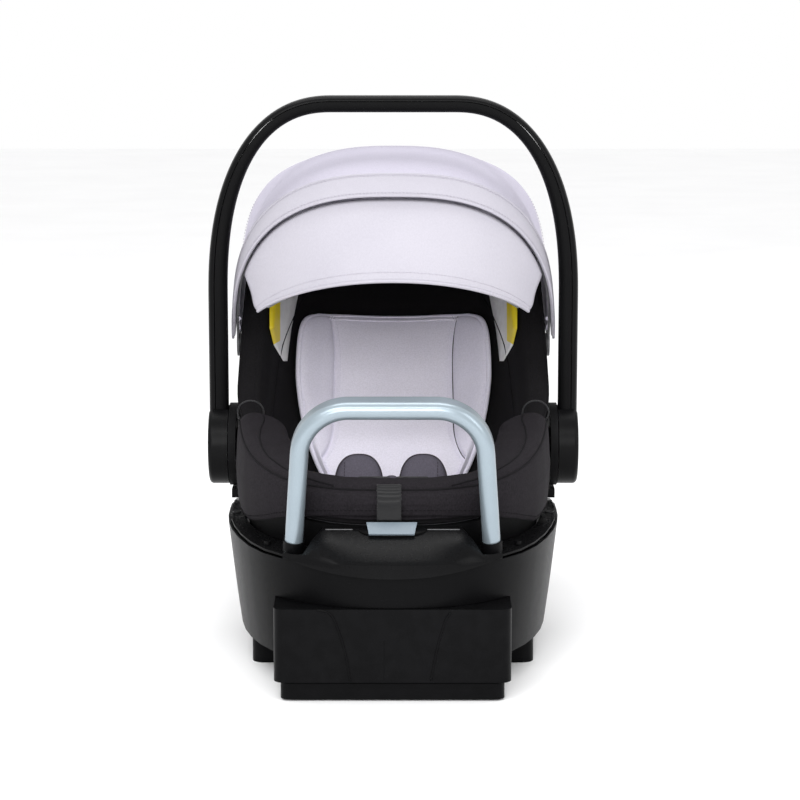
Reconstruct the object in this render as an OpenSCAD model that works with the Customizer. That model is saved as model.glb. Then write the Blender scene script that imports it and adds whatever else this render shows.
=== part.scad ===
// Infant car seat: a rear-facing carrier with its handle and canopy, docked on a vehicle base.
// X runs across the seat, +Y towards the head end, +Z up. The floor is Z = 0.
// The handle's hub axis runs along X through Y = 0, Z = hub_z.

/* [Carrier] */
// Height of the handle's hub axis above the floor
hub_z = 225; // [222:1:240]
// Half width of the seat shell at its rim
seat_half_w = 188; // [170:1:230]
// Length from the hub axis to the foot end of the shell
foot_reach = 272; // [250:1:276]
// Length from the hub axis to the head end of the shell
head_reach = 345; // [320:1:350]
// Depth of the shell's lowest point below the hub axis
shell_depth = 175; // [165:1:176]
// Height of the shell's rim at the foot end, relative to the hub axis
foot_rim = -36; // [-45:1:-20]
// Share of its width that the shell loses towards the head end
head_taper = 0.2; // [0.18:0.01:0.3]
// Wall of the lower shell
shell_wall = 4; // [3:0.5:5]
// Wall of the seat pan
pan_wall = 3; // [2:0.5:4]
// Thickness of the foam liner
foam_t = 9.5; // [7:0.5:12]
// Thickness of the padded seat cover
cover_t = 10; // [7:0.5:12]

/* [Handle] */
// Half width over the outsides of the handle's arms
handle_half_w = 222; // [216:1:260]
// Thickness of the handle, seen from the front
handle_t = 23; // [20:1:28]
// Depth of the handle from front to back
handle_depth = 33; // [26:1:36]
// Height of the handle's top above the hub axis
handle_top = 420; // [418:1:500]
// Radius of the handle's hubs
hub_r = 48; // [44:1:54]
// Radius of the release buttons on the hubs
button_r = 17; // [13:0.5:18]
// Radius of the pins that the handle turns on
pivot_r = 8; // [6:0.5:10]

/* [Canopy] */
// Distance of the canopy's pivot behind the hub axis
canopy_y = 60; // [50:1:66]
// Height of the canopy's pivot above the hub axis
canopy_z = 115; // [108:1:120]
// Radius of the canopy's bow over its pivot
canopy_r = 244; // [230:1:246]
// Width of the raised front band
band_w = 40; // [30:1:46]
// Thickness of the raised front band
band_t = 8; // [5:0.5:9]
// Forward angle of the main bow from upright, in degrees
bow_angle = 35; // [30:1:38]
// Forward angle of the visor's front edge from upright, in degrees
visor_angle = 65; // [58:1:68]
// Thickness of the canopy's fabric
fabric_t = 2.5; // [1.5:0.5:3]

/* [Base] */
// Half width of the base at its top edge
base_half_w = 195; // [186:1:230]
// Length of the base in front of its centre
base_front = 285; // [275:1:300]
// Length of the base behind its centre
base_rear = 230; // [215:1:250]
// Distance of the base's centre in front of the hub axis
base_centre = 60; // [55:1:65]
// Height of the base's top edge
base_top = 158; // [150:1:162]
// Height of the base's top edge at the rear end
base_rear_top = 80; // [76:1:84]
// Height of the underside of the base's shell
base_under = 38; // [37:1:39]
// Wall of the base's shell
base_wall = 3; // [2.5:0.5:4]
// Clearance between the docked carrier and the base
dock_gap = 3; // [2.5:0.5:4]
// Travel of the recline foot
recline_travel = 30; // [20:1:32]

/* [Anti-rebound bar] */
// Half the distance between the centres of the bar's legs
bar_half_w = 110; // [104:1:114]
// Height of the bar above its sockets, along its slope
bar_height = 176; // [150:1:200]
// Width of the tube, seen from the front
bar_t = 20; // [16:1:22]
// Depth of the tube from front to back
bar_depth = 35; // [28:1:36]
// Radius of the bar's bends at the tube's centre
bar_bend = 55; // [45:1:62]
// Forward lean of the bar, in degrees
bar_lean = 11; // [6:1:12]
// Inward lean of the bar's legs, in degrees
bar_splay = 4; // [2:1:6]

/* [Hidden] */
$fn = 48;

// Clearances between pieces of one body and between pieces that move apart
fit_gap = 0.5;
run_gap = 1;
pin_gap = 0.05;

// Roundness of the shell's outline, of its cross-section and of the seat inside it
plan_n = 3;
shell_q = 3.4;
inside_q = 3.4;
rocker_rise = 0.0011;
seat_points = 48;

// Thickness of the wings between the shell's outside and the seat inside it
layer_gap = 2.3;
rim_pad = cover_t + foam_t + pan_wall + shell_wall + 3 * layer_gap;
flange_t = 6;
flange_drop = flange_t + 3;

// Backrest and thigh slopes of the seat inside, and where they meet
back_slope = 0.85;
thigh_slope = 0.45;
bight_y = -40;
bight_drop = 142;
bight_round = 20;
layer_slope = 1.3;

// Rise of the rim from the foot end to the wings, and its fall at the head end
rim_slope_foot = 0.34;
rim_slope_head = 0.17;
wing_rise = 140;
wing_from = -30;
wing_to = 120;
head_fall_from = 260;
head_fall = 0.0125;

// Handle arms
arm_straight_z = 180;
arm_foot_z = 20;
handle_flat = 72;
handle_outer_n = 2.3;
handle_inner_n = 2.4;
handle_split = 0.33;

// Hubs, from the carrier's side outwards
housing_in = seat_half_w + 0.6;
housing_out = handle_half_w - handle_t - 1.5;
hub_in = housing_out + run_gap;
hub_out = handle_half_w;
button_travel = 4;

// Base outline
base_n_front = 2.35;
base_n_rear = 3;
base_points = 48;
side_rise = 6;
crest_rise = 26;
crest_y = -290;
crest_half_w = 78;
crest_fade = 26;
cowl_half_w = 121;
cowl_t = 2.5;
bar_y = -279;
bar_foot_z = 158;
chassis_half_w = 163;
chassis_front = -179;
chassis_rear = 160;
foot_half_w = 123;
leg_half_w = 130;
leg_under = 23;
leg_top = 105;
leg_front = -346;
leg_back = -268;
leg_wall = 4;
foot_front = -338;
foot_rear = -215;
lever_half_w = 28;

// ---------- helpers ----------

// Signed power, for superellipse curves
function spow(v, e) = sign(v) * pow(abs(v), e);

// Smooth change from 0 to 1 between two values
function ease(from, to, v) =
    let (t = min(1, max(0, (v - from) / (to - from))))
    t * t * (3 - 2 * t);

// Distance of a superellipse of unit size from its centre, in a direction
function squircle(a, n) = 1 / pow(pow(abs(cos(a)), n) + pow(abs(sin(a)), n), 1 / n);

// Closed solid through rings of points, each ring anticlockwise about the direction of travel
module skin(rings) {
    n = len(rings[0]);
    m = len(rings);
    sides = [
        for (j = [0 : m - 2], i = [0 : n - 1])
            let (a = j * n + i, b = j * n + (i + 1) % n)
            each [[a, a + n, b + n], [a, b + n, b]]
    ];
    first = [for (i = [0 : n - 1]) i];
    last = [for (i = [n - 1 : -1 : 0]) (m - 1) * n + i];
    polyhedron([for (r = rings) each r], concat([first], sides, [last]));
}

// The same piece on both sides
module both_sides() {
    children();
    mirror([1, 0, 0]) children();
}

// Cylinder along X between two places
module rod_x(r, x0, x1, y = 0, z = 0) {
    translate([x0, y, z]) rotate([0, 90, 0]) cylinder(r = r, h = x1 - x0);
}

// Box between two corners
module box(low, high) {
    translate(low) cube(high - low);
}

// Upright block with rounded corners in plan
module block(low, high, r) {
    translate([0, 0, low.z]) linear_extrude(high.z - low.z) round_rect(low, high, r);
}

module round_rect(low, high, r) {
    translate([low.x + r, low.y]) square([high.x - low.x - 2 * r, high.y - low.y]);
    translate([low.x, low.y + r]) square([high.x - low.x, high.y - low.y - 2 * r]);
    for (x = [low.x + r, high.x - r], y = [low.y + r, high.y - r])
        translate([x, y]) circle(r);
}

// Flat oval: a width with round ends, standing along Y
module stadium(w, l) {
    square([w, l - w], center = true);
    for (s = [-1, 1]) translate([0, s * (l - w) / 2]) circle(w / 2);
}

// ---------- seat form ----------

function seat_taper(y) =
    y > 0 ? 1 - head_taper * pow(y / head_reach, 1.3) : 1 - 0.053 * ease(0, 70, -y);
function seat_len(a, d) = (sin(a) > 0 ? head_reach : foot_reach) - d;

// A place on the seat's plan: direction a, share rho of the way out, distance d inside the shell
function seat_xy(a, rho, d) =
    let (k = rho * squircle(a, plan_n), y = k * seat_len(a, d) * sin(a))
    [k * (seat_half_w * seat_taper(y) - d) * cos(a), y];

// The share of the way out for a place in plan
function seat_rho(x, y, d) =
    let (w = seat_half_w * seat_taper(y) - d, l = (y > 0 ? head_reach : foot_reach) - d)
    pow(pow(abs(x) / w, plan_n) + pow(abs(y) / l, plan_n), 1 / plan_n);

// Height of the rim along the seat
function seat_rim(y) =
    hub_z + foot_rim + rim_slope_foot * (min(y, 0) + foot_reach) + rim_slope_head * max(y, 0)
    + wing_rise * ease(wing_from, wing_to, y) - head_fall * pow(max(y - head_fall_from, 0), 2);

// Depth of a bowl with its rim at 1
function bowl(rho, q) = pow(max(0, 1 - pow(min(rho, 1), q)), 1 / q);

// Height of the lower shell's surface, d inside its outside
function shell_z(rho, y, d) =
    let (top = seat_rim(y) - flange_drop, low = hub_z - shell_depth + d + rocker_rise * y * y)
    top - (top - low) * bowl(rho, shell_q);

// Height of the seat inside along its middle
function seat_floor(y) =
    let (a = back_slope * (y - bight_y), b = thigh_slope * (bight_y - y))
    hub_z - bight_drop + (a + b) / 2 + sqrt(pow((a - b) / 2, 2) + pow(bight_round, 2));

// Height of a layer inside, depth l below the seat's surface, rim lowered by drop
function layer_z(rho, y, l, drop) =
    let (top = seat_rim(y) - drop)
    top - (top - seat_floor(y) + layer_slope * l) * bowl(rho, inside_q);

// Height of the seat's surface at a place in plan
function seat_z(x, y) = layer_z(seat_rho(x, y, rim_pad), y, 0, 0);

ring_steps = [0.12, 0.3, 0.48, 0.64, 0.78, 0.88, 0.95, 0.985, 1];
steps_down = [for (i = [len(ring_steps) - 1 : -1 : 0]) ring_steps[i]];

function shell_ring(rho, d) = [
    for (i = [0 : seat_points - 1])
        let (p = seat_xy(360 * i / seat_points, rho, d))
        [p.x, p.y, shell_z(rho, p.y, d)]
];
function layer_ring(rho, l, drop) = [
    for (i = [0 : seat_points - 1])
        let (p = seat_xy(360 * i / seat_points, rho, rim_pad - l))
        [p.x, p.y, layer_z(rho, p.y, l, drop)]
];
function rim_ring(d, drop) = [
    for (i = [0 : seat_points - 1])
        let (p = seat_xy(360 * i / seat_points, 1, d))
        [p.x, p.y, seat_rim(p.y) - drop]
];

// A layer of the seat between two depths below its surface
module layer(l_out, l_in) {
    skin(concat(
        [for (r = ring_steps) layer_ring(r, l_out, flange_drop)],
        [for (r = steps_down) layer_ring(r, l_in, flange_drop)]));
}

// Depths of the layers
foam_in = cover_t + layer_gap;
foam_out = foam_in + foam_t;
pan_in = foam_out + layer_gap;
pan_out = pan_in + pan_wall;

// Slots that the shoulder straps pass through
slot_x = 46;
slot_y = 150;
slot_half_w = 22;
slot_half_h = 4;
module harness_slots() {
    for (x = [-slot_x, slot_x])
        box([x - slot_half_w, slot_y - slot_half_h, hub_z - 90],
            [x + slot_half_w, slot_y + slot_half_h, hub_z + 120]);
}

// Holes for the handle's pins and the canopy's pins
module pivot_holes() {
    rod_x(pivot_r + 0.4, -seat_half_w - 5, seat_half_w + 5, 0, hub_z);
    rod_x(canopy_pin_r + 0.2, -seat_half_w - 5, seat_half_w + 5, canopy_y, hub_z + canopy_z);
}

module rocker_shell() {
    color([0.07, 0.07, 0.075])
    difference() {
        skin(concat(
            [for (r = ring_steps) shell_ring(r, 0)],
            [for (r = steps_down) shell_ring(r, shell_wall)]));
        pivot_holes();
        rear_release_hole();
    }
}

module seat_pan() {
    color([0.12, 0.12, 0.13])
    difference() {
        layer(pan_out, pan_in);
        rod_x(pivot_r + 0.4, -seat_half_w, seat_half_w, 0, hub_z);
        harness_slots();
    }
}

module foam_liner() {
    color([0.2, 0.2, 0.21])
    difference() {
        layer(foam_out, foam_in);
        harness_slots();
    }
}

module seat_cover() {
    color([0.08, 0.08, 0.085])
    difference() {
        skin(concat(
            [for (r = ring_steps) layer_ring(r, cover_t, flange_t)],
            [for (d = [16, 8, 0]) rim_ring(d, flange_t)],
            [for (d = [0, 8, 16, 24]) rim_ring(d, 0)],
            [for (r = steps_down) layer_ring(r, 0, 0)]));
        harness_slots();
    }
}

// ---------- front bolster: the padded roll round the foot end ----------

bolster_from = 192;
bolster_to = 348;
bolster_steps = 38;

function bolster_top(y) = hub_z + 5 + 0.24 * (y + 290);
function elbow_rise(y) = 14 * ease(-120, -62, y);
function roll_reach(y) = 30 + 22 * ease(-262, -200, y) * (1 - ease(-120, -70, y));
function bolster_low(y) = hub_z - 30 - 27 * ease(-290, -170, y);

// A place u outside the shell's face at height z
function skirt_point(a, u, z) =
    let (
        p = seat_xy(a, 1, -u),
        top = seat_rim(p.y) - flange_drop,
        s = max(0, top - z) / (top - hub_z + shell_depth - rocker_rise * p.y * p.y),
        c = z >= top ? 1 : pow(1 - pow(s, shell_q), 1 / shell_q))
    [p.x * c, p.y * c, z];

// A place u outside the shell's face at height z, kept k above the rim there
function roll_point(a, u, z, k) =
    let (p = seat_xy(a, 1, -u))
    [p.x, p.y, max(z, seat_rim(p.y) + k)];

function bolster_ring(a) =
    let (
        y = seat_xy(a, 1, 0).y,
        top = bolster_top(y),
        low = bolster_low(y),
        up = elbow_rise(y),
        reach = roll_reach(y))
    [
        roll_point(a, -reach + 3, 0, 1.2),
        roll_point(a, -reach, top - 16, 5 + up / 2),
        roll_point(a, -reach + 7, top - 4, 9 + up),
        roll_point(a, -12, top, 12 + up),
        roll_point(a, 0, top - 4, 10 + up),
        roll_point(a, 7, top - 14, 4),
        skirt_point(a, 10, (top + low) / 2),
        skirt_point(a, 9, low + 12),
        skirt_point(a, 6, low),
        skirt_point(a, 2.5, low + 3),
        skirt_point(a, 2, (low + seat_rim(y)) / 2),
        roll_point(a, 1.5, 0, 1.2)
    ];

module front_bolster() {
    color([0.2, 0.19, 0.21])
    skin([
        for (i = [0 : bolster_steps])
            bolster_ring(bolster_from + (bolster_to - bolster_from) * i / bolster_steps)
    ]);
}

// ---------- insert, pads and harness ----------

insert_half_w = 125;
insert_y = 124;
insert_half_l = 116;
insert_n = 3;
insert_lift = 5.9;
insert_t = 20;

function insert_ring(rho, lift, crown) = [
    for (i = [0 : 27])
        let (
            a = 360 * i / 28,
            k = rho * squircle(a, insert_n),
            x = k * insert_half_w * cos(a),
            y = insert_y + k * insert_half_l * sin(a))
        [x, y, seat_z(x, y) + lift + crown * (1 - pow(rho, 4))]
];

module head_insert() {
    color([0.72, 0.7, 0.75])
    skin(concat(
        [for (r = [0.15, 0.4, 0.62, 0.8, 0.93, 1]) insert_ring(r, insert_lift, 0)],
        [for (r = [1, 0.93, 0.8, 0.62, 0.4, 0.15]) insert_ring(r, insert_lift + 7, insert_t - 7)]));
}

pad_tilt = 58;
pad_y = -58;
pad_z = hub_z - 52;

// A frame on the tilted plane of the harness pads
module on_pads(x) {
    translate([x, pad_y, pad_z]) rotate([pad_tilt, 0, 0]) children();
}

module harness_pads() {
    color([0.45, 0.42, 0.46])
    for (x = [-slot_x, slot_x])
        on_pads(x) linear_extrude(16) stadium(60, 92);
}

module crotch_pad() {
    color([0.4, 0.38, 0.42])
    translate([0, pad_y - 3, pad_z - 6]) rotate([pad_tilt, 0, 0])
        linear_extrude(10) stadium(26, 58);
}

strap_w = 38;
strap_t = 1.8;

module shoulder_straps() {
    edge = strap_w / 2;
    color([0.3, 0.3, 0.32])
    for (x = [-slot_x, slot_x]) skin([
        for (y = [slot_y, 130, 105, 80, 55, 30, 8])
            let (
                a = [x + edge, y, seat_z(x + edge, y) + 1.2],
                b = [x - edge, y, seat_z(x - edge, y) + 1.2])
            [a, a + [0, 0, strap_t], b + [0, 0, strap_t], b]
    ]);
}

// Hip straps run from the sides of the seat to the buckle
function hip_point(t, s) =
    let (
        c = [130 - 88 * t, -16 - 60 * t],
        w = [-0.8, 0.6] * s * strap_w / 2 * 0.9,
        x = c.x + w.x,
        y = c.y + w.y)
    [x, y, seat_z(abs(x), y) + 4 + 8 * t];

module hip_straps() {
    color([0.32, 0.32, 0.34])
    both_sides() skin([
        for (i = [0 : 7])
            let (t = 0.78 * i / 7, a = hip_point(t, -1), b = hip_point(t, 1))
            [b, a, a + [0, 0, strap_t], b + [0, 0, strap_t]]
    ]);
}

buckle_y = -118;
buckle_z = seat_floor(buckle_y - 25) + 26;

// A frame on the buckle, its front facing up and to the foot end
module on_buckle() {
    translate([0, buckle_y, buckle_z]) rotate([35, 0, 0]) children();
}

module buckle_body() {
    color([0.1, 0.1, 0.11])
    on_buckle() difference() {
        block([-24, -30, 0], [24, 30, 20], 9);
        block([-9.5, -22, 12], [9.5, -2, 21], 4);
        for (s = [-1, 1]) box([s * 13 - 8, 12, 7], [s * 13 + 8, 31, 12]);
    }
}

module buckle_button() {
    color([0.75, 0.1, 0.08])
    on_buckle() block([-9, -21.5, 14.5], [9, -2.5, 21.5], 3.5);
}

module buckle_tongues() {
    color([0.6, 0.6, 0.62])
    on_buckle() for (s = [-1, 1]) {
        box([s * 13 - 7, 13, 8], [s * 13 + 7, 34, 11]);
        block([s * 15 - 13, 34, 6], [s * 15 + 13, 46, 13], 3);
    }
}

module crotch_strap() {
    color([0.3, 0.3, 0.32])
    translate([0, buckle_y, seat_floor(buckle_y) + 5])
        linear_extrude(buckle_z - seat_floor(buckle_y) - 8) square([strap_w - 4, strap_t], center = true);
}

module chest_clip() {
    color([0.1, 0.1, 0.11])
    translate([0, pad_y, pad_z]) rotate([pad_tilt, 0, 0])
    for (s = [-1, 1]) difference() {
        block([s * 23 - 21, -14, 17], [s * 23 + 21, 14, 26], 5);
        box([s * 26 - 13, -6, 16], [s * 26 - 10, 6, 27]);
        box([s * 26 + 10, -6, 16], [s * 26 + 13, 6, 27]);
    }
}

adjuster_y = -182;
adjuster_tilt = atan((seat_z(0, adjuster_y - 14) - seat_z(0, adjuster_y + 14)) / 28);

// A frame on the seat at the harness adjuster, tilted with the thigh slope
module on_adjuster() {
    translate([0, adjuster_y, seat_z(0, adjuster_y) + 3]) rotate([-adjuster_tilt, 0, 0]) children();
}

module adjuster_housing() {
    color([0.1, 0.1, 0.11])
    on_adjuster() difference() {
        block([-27, -16, 0], [27, 16, 13], 6);
        block([-14.5, -8.5, 6], [14.5, 8.5, 14], 3);
    }
}

module adjuster_button() {
    color([0.35, 0.35, 0.37])
    on_adjuster() block([-14, -8, 9], [14, 8, 15], 2.5);
}

// The pull strap hangs over the front of the bolster
module adjuster_strap() {
    color([0.05, 0.05, 0.055])
    translate([-4, -foot_reach - 13, hub_z - 34])
        linear_extrude(36) square([28, strap_t], center = true);
}

module splitter_plate() {
    color([0.62, 0.62, 0.64])
    translate([0, 70, hub_z - 128]) rotate([40, 0, 0]) difference() {
        block([-34, -22, 0], [34, 22, 3], 8);
        for (x = [-20, 20]) block([x - 12, 4, -1], [x + 12, 10, 4], 2);
        block([-12, -12, -1], [12, -6, 4], 2);
    }
}

// Blank labels on the insides of the wings, from a narrow tip up to the rim
label_at = 27.5;

// One corner of a label's section: share s across it and share t up it, l below the seat's surface
function label_point(s, t, l) =
    let (
        a = label_at - 1.5 * t + s * (0.6 + 10 * t),
        rho = 0.957 + 0.028 * t,
        p = seat_xy(a, rho, rim_pad - l))
    [p.x, p.y, layer_z(rho, p.y, l, 0)];

module side_labels() {
    color([0.93, 0.92, 0.85])
    both_sides() skin([
        for (i = [0 : 6])
            concat(
                [for (j = [-3 : 3]) label_point(j / 3, i / 6, -1.4)],
                [for (j = [3 : -1 : -3]) label_point(j / 3, i / 6, -2)])
    ]);
}

// ---------- hubs and handle ----------

module hub_housings() {
    color([0.06, 0.06, 0.065])
    translate([0, 0, hub_z]) both_sides() difference() {
        union() {
            rod_x(hub_r + 2, housing_in, housing_out);
            rod_x(20, seat_half_w - 0.6, housing_in);
        }
        rod_x(pivot_r + 0.4, seat_half_w - 5, housing_out + 1);
        lock_recess();
    }
}

module lock_recess() {
    difference() {
        rod_x(34.5, housing_out - 4.5, housing_out + 1);
        rod_x(25.5, housing_out - 5, housing_out + 2);
    }
}

module lock_rings() {
    color([0.7, 0.7, 0.72])
    translate([0, 0, hub_z]) both_sides() difference() {
        rod_x(34, housing_out - 4, housing_out - 0.3);
        rod_x(26, housing_out - 5, housing_out + 1);
        for (i = [0 : 11]) rotate([i * 30, 0, 0])
            box([housing_out - 2.3, 31, -2.5], [housing_out + 1, 35, 2.5]);
    }
}

pin_head_r = pivot_r + 5;
pin_head_x = hub_in + 8;

module handle_pins() {
    color([0.68, 0.68, 0.7])
    translate([0, 0, hub_z]) both_sides() {
        rod_x(pivot_r, seat_half_w - 9, pin_head_x);
        rod_x(pin_head_r, pin_head_x, pin_head_x + 3);
    }
}

module handle_hubs() {
    color([0.06, 0.06, 0.065])
    translate([0, 0, hub_z]) both_sides() difference() {
        translate([hub_in, 0, 0]) rotate([0, 90, 0]) hub_profile();
        rod_x(pivot_r + pin_gap, hub_in - 1, hub_in + 10);
        rod_x(pin_head_r + fit_gap, pin_head_x - 0.3, hub_in + 12);
        rod_x(button_r + fit_gap, button_seat, hub_out + 1);
        box([hub_in - 1, -handle_depth / 2 - 0.7, arm_foot_z - 0.7],
            [hub_out + 1, handle_depth / 2 + 0.7, hub_r + 2]);
    }
}

// Disc with a rounded outer edge
module hub_profile() {
    edge = 5;
    t = hub_out - hub_in;
    rotate_extrude($fn = 64) {
        square([hub_r, t - edge]);
        square([hub_r - edge, t]);
        translate([hub_r - edge, t - edge]) circle(edge);
    }
}

button_seat = hub_in + 12.2;

module release_button() {
    color([0.09, 0.09, 0.095])
    translate([0, 0, hub_z]) difference() {
        union() {
            rod_x(button_r, button_seat + button_travel + 0.4, hub_out + 0.6);
            rod_x(button_r - 2, hub_out + 0.6, hub_out + 1.6);
        }
        rod_x(button_r - 5, button_seat, hub_out - 2);
    }
}
module handle_button_right() { release_button(); }
module handle_button_left() { mirror([1, 0, 0]) release_button(); }

// Edge of the handle in the XZ plane: station t from 0 at the hub to 1 at the top's middle
function handle_edge(t, w, top, n) =
    t < 0.35 ? [w, arm_foot_z + (arm_straight_z - arm_foot_z) * t / 0.35] :
    t < 0.85 ? let (a = 90 * (t - 0.35) / 0.5)
        [handle_flat + (w - handle_flat) * spow(cos(a), 2 / n),
         arm_straight_z + (top - arm_straight_z) * spow(sin(a), 2 / n)] :
    [handle_flat * (1 - t) / 0.15, top];

handle_stations = [
    0, 0.12, 0.24, 0.35, 0.38, 0.42, 0.47, 0.52, 0.57, 0.62, 0.67, 0.72, 0.77, 0.81, 0.85, 0.92
];

// A ring of the handle: n across its thickness, s the sign of the side
function handle_ring(t, side, across) =
    let (
        o = handle_edge(t, handle_half_w, handle_top, handle_outer_n),
        i = handle_edge(t, handle_half_w - handle_t, handle_top - handle_t + 3, handle_inner_n),
        mid = (o + i) / 2,
        half = (o - i) / 2)
    [
        for (q = across)
            [side * (mid.x + half.x * q.x), q.y * handle_depth / 2 * pow(1 - pow(abs(q.x), 3), 1 / 3),
             hub_z + mid.y + half.y * q.x]
    ];

function handle_rings(across) = concat(
    [for (t = handle_stations) handle_ring(t, 1, across)],
    [handle_ring(1, 1, across)],
    [for (i = [len(handle_stations) - 1 : -1 : 0])
        handle_ring(handle_stations[i], -1, across)]);

module handle_outer() {
    s = handle_split;
    color([0.05, 0.05, 0.055])
    skin(handle_rings([[1, 0], [0.93, 1], [0.7, 1], [s, 1], [s, -1], [0.7, -1], [0.93, -1]]));
}

module handle_inner() {
    s = handle_split - 0.04;
    color([0.04, 0.04, 0.045])
    skin(handle_rings([
        [s, 1], [0, 1], [-0.6, 1], [-0.93, 1], [-1, 0], [-0.93, -1], [-0.6, -1], [0, -1], [s, -1]
    ]));
}

// ---------- canopy ----------

canopy_pin_r = 5;
canopy_half_w = 193;
bow_n = 2.7;
visor_front_n = 2.05;
bow_end_x = seat_half_w + 3.5;
rear_angle = 82;
rear_from = 15;
rear_growth = (head_reach + 13 - canopy_y) / sin(rear_angle) - canopy_r + 1;

// A place on a bow: b from 0 at the right pivot to 180 at the left, leaning forward by a
function bow_point(b, a, w, r, n) =
    let (k = squircle(b, n), d = r * sin(b) * k)
    [w * cos(b) * k, canopy_y - d * sin(a), hub_z + canopy_z + d * cos(a)];

function rear_r(a) = canopy_r - 1 + rear_growth * pow(max(0, -a - rear_from) / (rear_angle - rear_from), 1.25);
function rear_n(a) = bow_n + 2.3 * ease(0, 50, -a);

// Place on the rear sheet: share t from its back edge to the edge of the band
rear_b0 = 8;
rear_steps = 22;

function rear_point(t, b, inset) =
    let (
        lean = -rear_angle + (bow_angle + rear_angle) * t,
        d = rear_r(lean) * sin(b) * squircle(b, rear_n(lean)),
        front = bow_angle - asin(min(0.98, (band_w / 2 + 1) / d)),
        a = -rear_angle + (front + rear_angle) * t)
    bow_point(b, a, canopy_half_w - inset, rear_r(a) - inset, rear_n(a));

module canopy_rear() {
    color([0.74, 0.72, 0.78])
    skin([
        for (i = [0 : 11])
            let (bs = [for (j = [0 : rear_steps]) rear_b0 + (180 - 2 * rear_b0) * j / rear_steps])
            concat(
                [for (j = [0 : rear_steps]) rear_point(i / 11, bs[j], 0)],
                [for (j = [rear_steps : -1 : 0]) rear_point(i / 11, bs[j], fabric_t)])
    ]);
}

visor_half_w = canopy_half_w - 5;

// Place on the visor: share t from the edge of the band to its free edge
visor_b0 = 32;
visor_steps = 20;

function visor_point(t, b, inset) =
    let (
        n = bow_n + (visor_front_n - bow_n) * t,
        d = (canopy_r - 3) * sin(b) * squircle(b, n),
        back = bow_angle + asin(min(0.98, (band_w / 2 + 1.5) / d)),
        a = back + (visor_angle - back) * t)
    bow_point(b, a, visor_half_w - inset, canopy_r - 3 - inset, n);

module canopy_visor() {
    color([0.8, 0.78, 0.84])
    skin([
        for (i = [0 : 4])
            let (bs = [for (j = [0 : visor_steps]) visor_b0 + (180 - 2 * visor_b0) * j / visor_steps])
            concat(
                [for (j = [0 : visor_steps]) visor_point(i / 4, bs[j], 0)],
                [for (j = [visor_steps : -1 : 0]) visor_point(i / 4, bs[j], fabric_t)])
    ]);
}

// A strip bent along the bow: from n0 to n1 outwards, half width h across
function strip_ring(b, n0, n1, h) =
    let (
        p = bow_point(b, bow_angle, bow_end_x, canopy_r + 3, bow_n),
        q = bow_point(b + 0.5, bow_angle, bow_end_x, canopy_r + 3, bow_n),
        t = (q - p) / norm(q - p),
        across = [0, -cos(bow_angle), -sin(bow_angle)],
        out = cross(t, across))
    [p + out * n0 - across * h, p + out * n0 + across * h, p + out * n1 + across * h, p + out * n1 - across * h];

module canopy_band() {
    color([0.84, 0.82, 0.87])
    skin([for (i = [0 : 32]) strip_ring(7 + 166 * i / 32, 0.3, band_t * 0.68, band_w / 2)]);
}

module canopy_bow() {
    color([0.1, 0.1, 0.11]) {
        skin([for (i = [0 : 32]) strip_ring(3.2 + 173.6 * i / 32, -2.5, -0.3, 9)]);
        both_sides() difference() {
            rod_x(16, bow_end_x - 2.9, bow_end_x, canopy_y, hub_z + canopy_z);
            rod_x(canopy_pin_r + pin_gap, bow_end_x - 4, bow_end_x + 1, canopy_y, hub_z + canopy_z);
        }
    }
}

module canopy_pins() {
    color([0.1, 0.1, 0.11])
    both_sides() {
        rod_x(canopy_pin_r, seat_half_w - 9, bow_end_x - 0.1, canopy_y, hub_z + canopy_z);
        rod_x(12, seat_half_w - 2.6, bow_end_x - 3.2, canopy_y, hub_z + canopy_z);
    }
}

wire_r = 2;

function wire_ring(b) =
    let (
        a = visor_angle - 1,
        p = bow_point(b, a, visor_half_w - 8, canopy_r - 10, visor_front_n),
        q = bow_point(b + 0.5, a, visor_half_w - 8, canopy_r - 10, visor_front_n),
        t = (q - p) / norm(q - p),
        across = [0, -cos(a), -sin(a)],
        out = cross(t, across))
    [for (i = [0 : 7]) p + wire_r * (out * cos(45 * i) - across * sin(45 * i))];

module visor_wire() {
    color([0.6, 0.6, 0.62])
    skin([for (i = [0 : 24]) wire_ring(36 + 108 * i / 24)]);
}

// ---------- release lever behind the head end ----------

release_y = 318;
release_z = hub_z + 62;

module rear_release_hole() {
    box([-40, release_y - 40, release_z - 12], [40, release_y + 60, release_z + 12]);
}

module rear_release_housing() {
    color([0.1, 0.1, 0.11])
    difference() {
        box([-39.5, release_y - 26, release_z - 11.5], [39.5, release_y + 2, release_z + 11.5]);
        box([-36, release_y - 23, release_z - 8.5], [36, release_y + 3, release_z + 8.5]);
    }
}

module rear_release_lever() {
    color([0.16, 0.16, 0.17])
    box([-35.5, release_y - 14, release_z - 8], [35.5, release_y + 6, release_z + 1]);
}

// ---------- latches and guides on the carrier ----------

latch_y = [-120, 90];

module latch_rods() {
    color([0.68, 0.68, 0.7])
    for (y = latch_y) rod_x(4, -60, 60, y, hub_z - shell_depth + 16 + rocker_rise * y * y);
}

module belt_guides() {
    color([0.06, 0.06, 0.065])
    both_sides() difference() {
        box([seat_half_w - 4.5, -24, hub_z - 62], [seat_half_w + 7, 24, hub_z - 51.5]);
        box([seat_half_w + 1, -17, hub_z - 63], [seat_half_w + 8, 17, hub_z - 57]);
    }
}

// ---------- base ----------

function base_squircle(a) = squircle(a, sin(a) > 0 ? base_n_rear : base_n_front);
function base_xy(a, t, w_scale, l_scale) =
    let (k = t * base_squircle(a))
    [k * base_half_w * w_scale * cos(a),
     -base_centre + k * (sin(a) > 0 ? base_rear : base_front) * l_scale * sin(a)];

// Share of the width that the base keeps at height z
function base_scale(z) = 0.885 + 0.115 * pow(z / base_top, 0.8);
function base_len_scale(z) = 0.98 + 0.02 * z / base_top;

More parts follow.
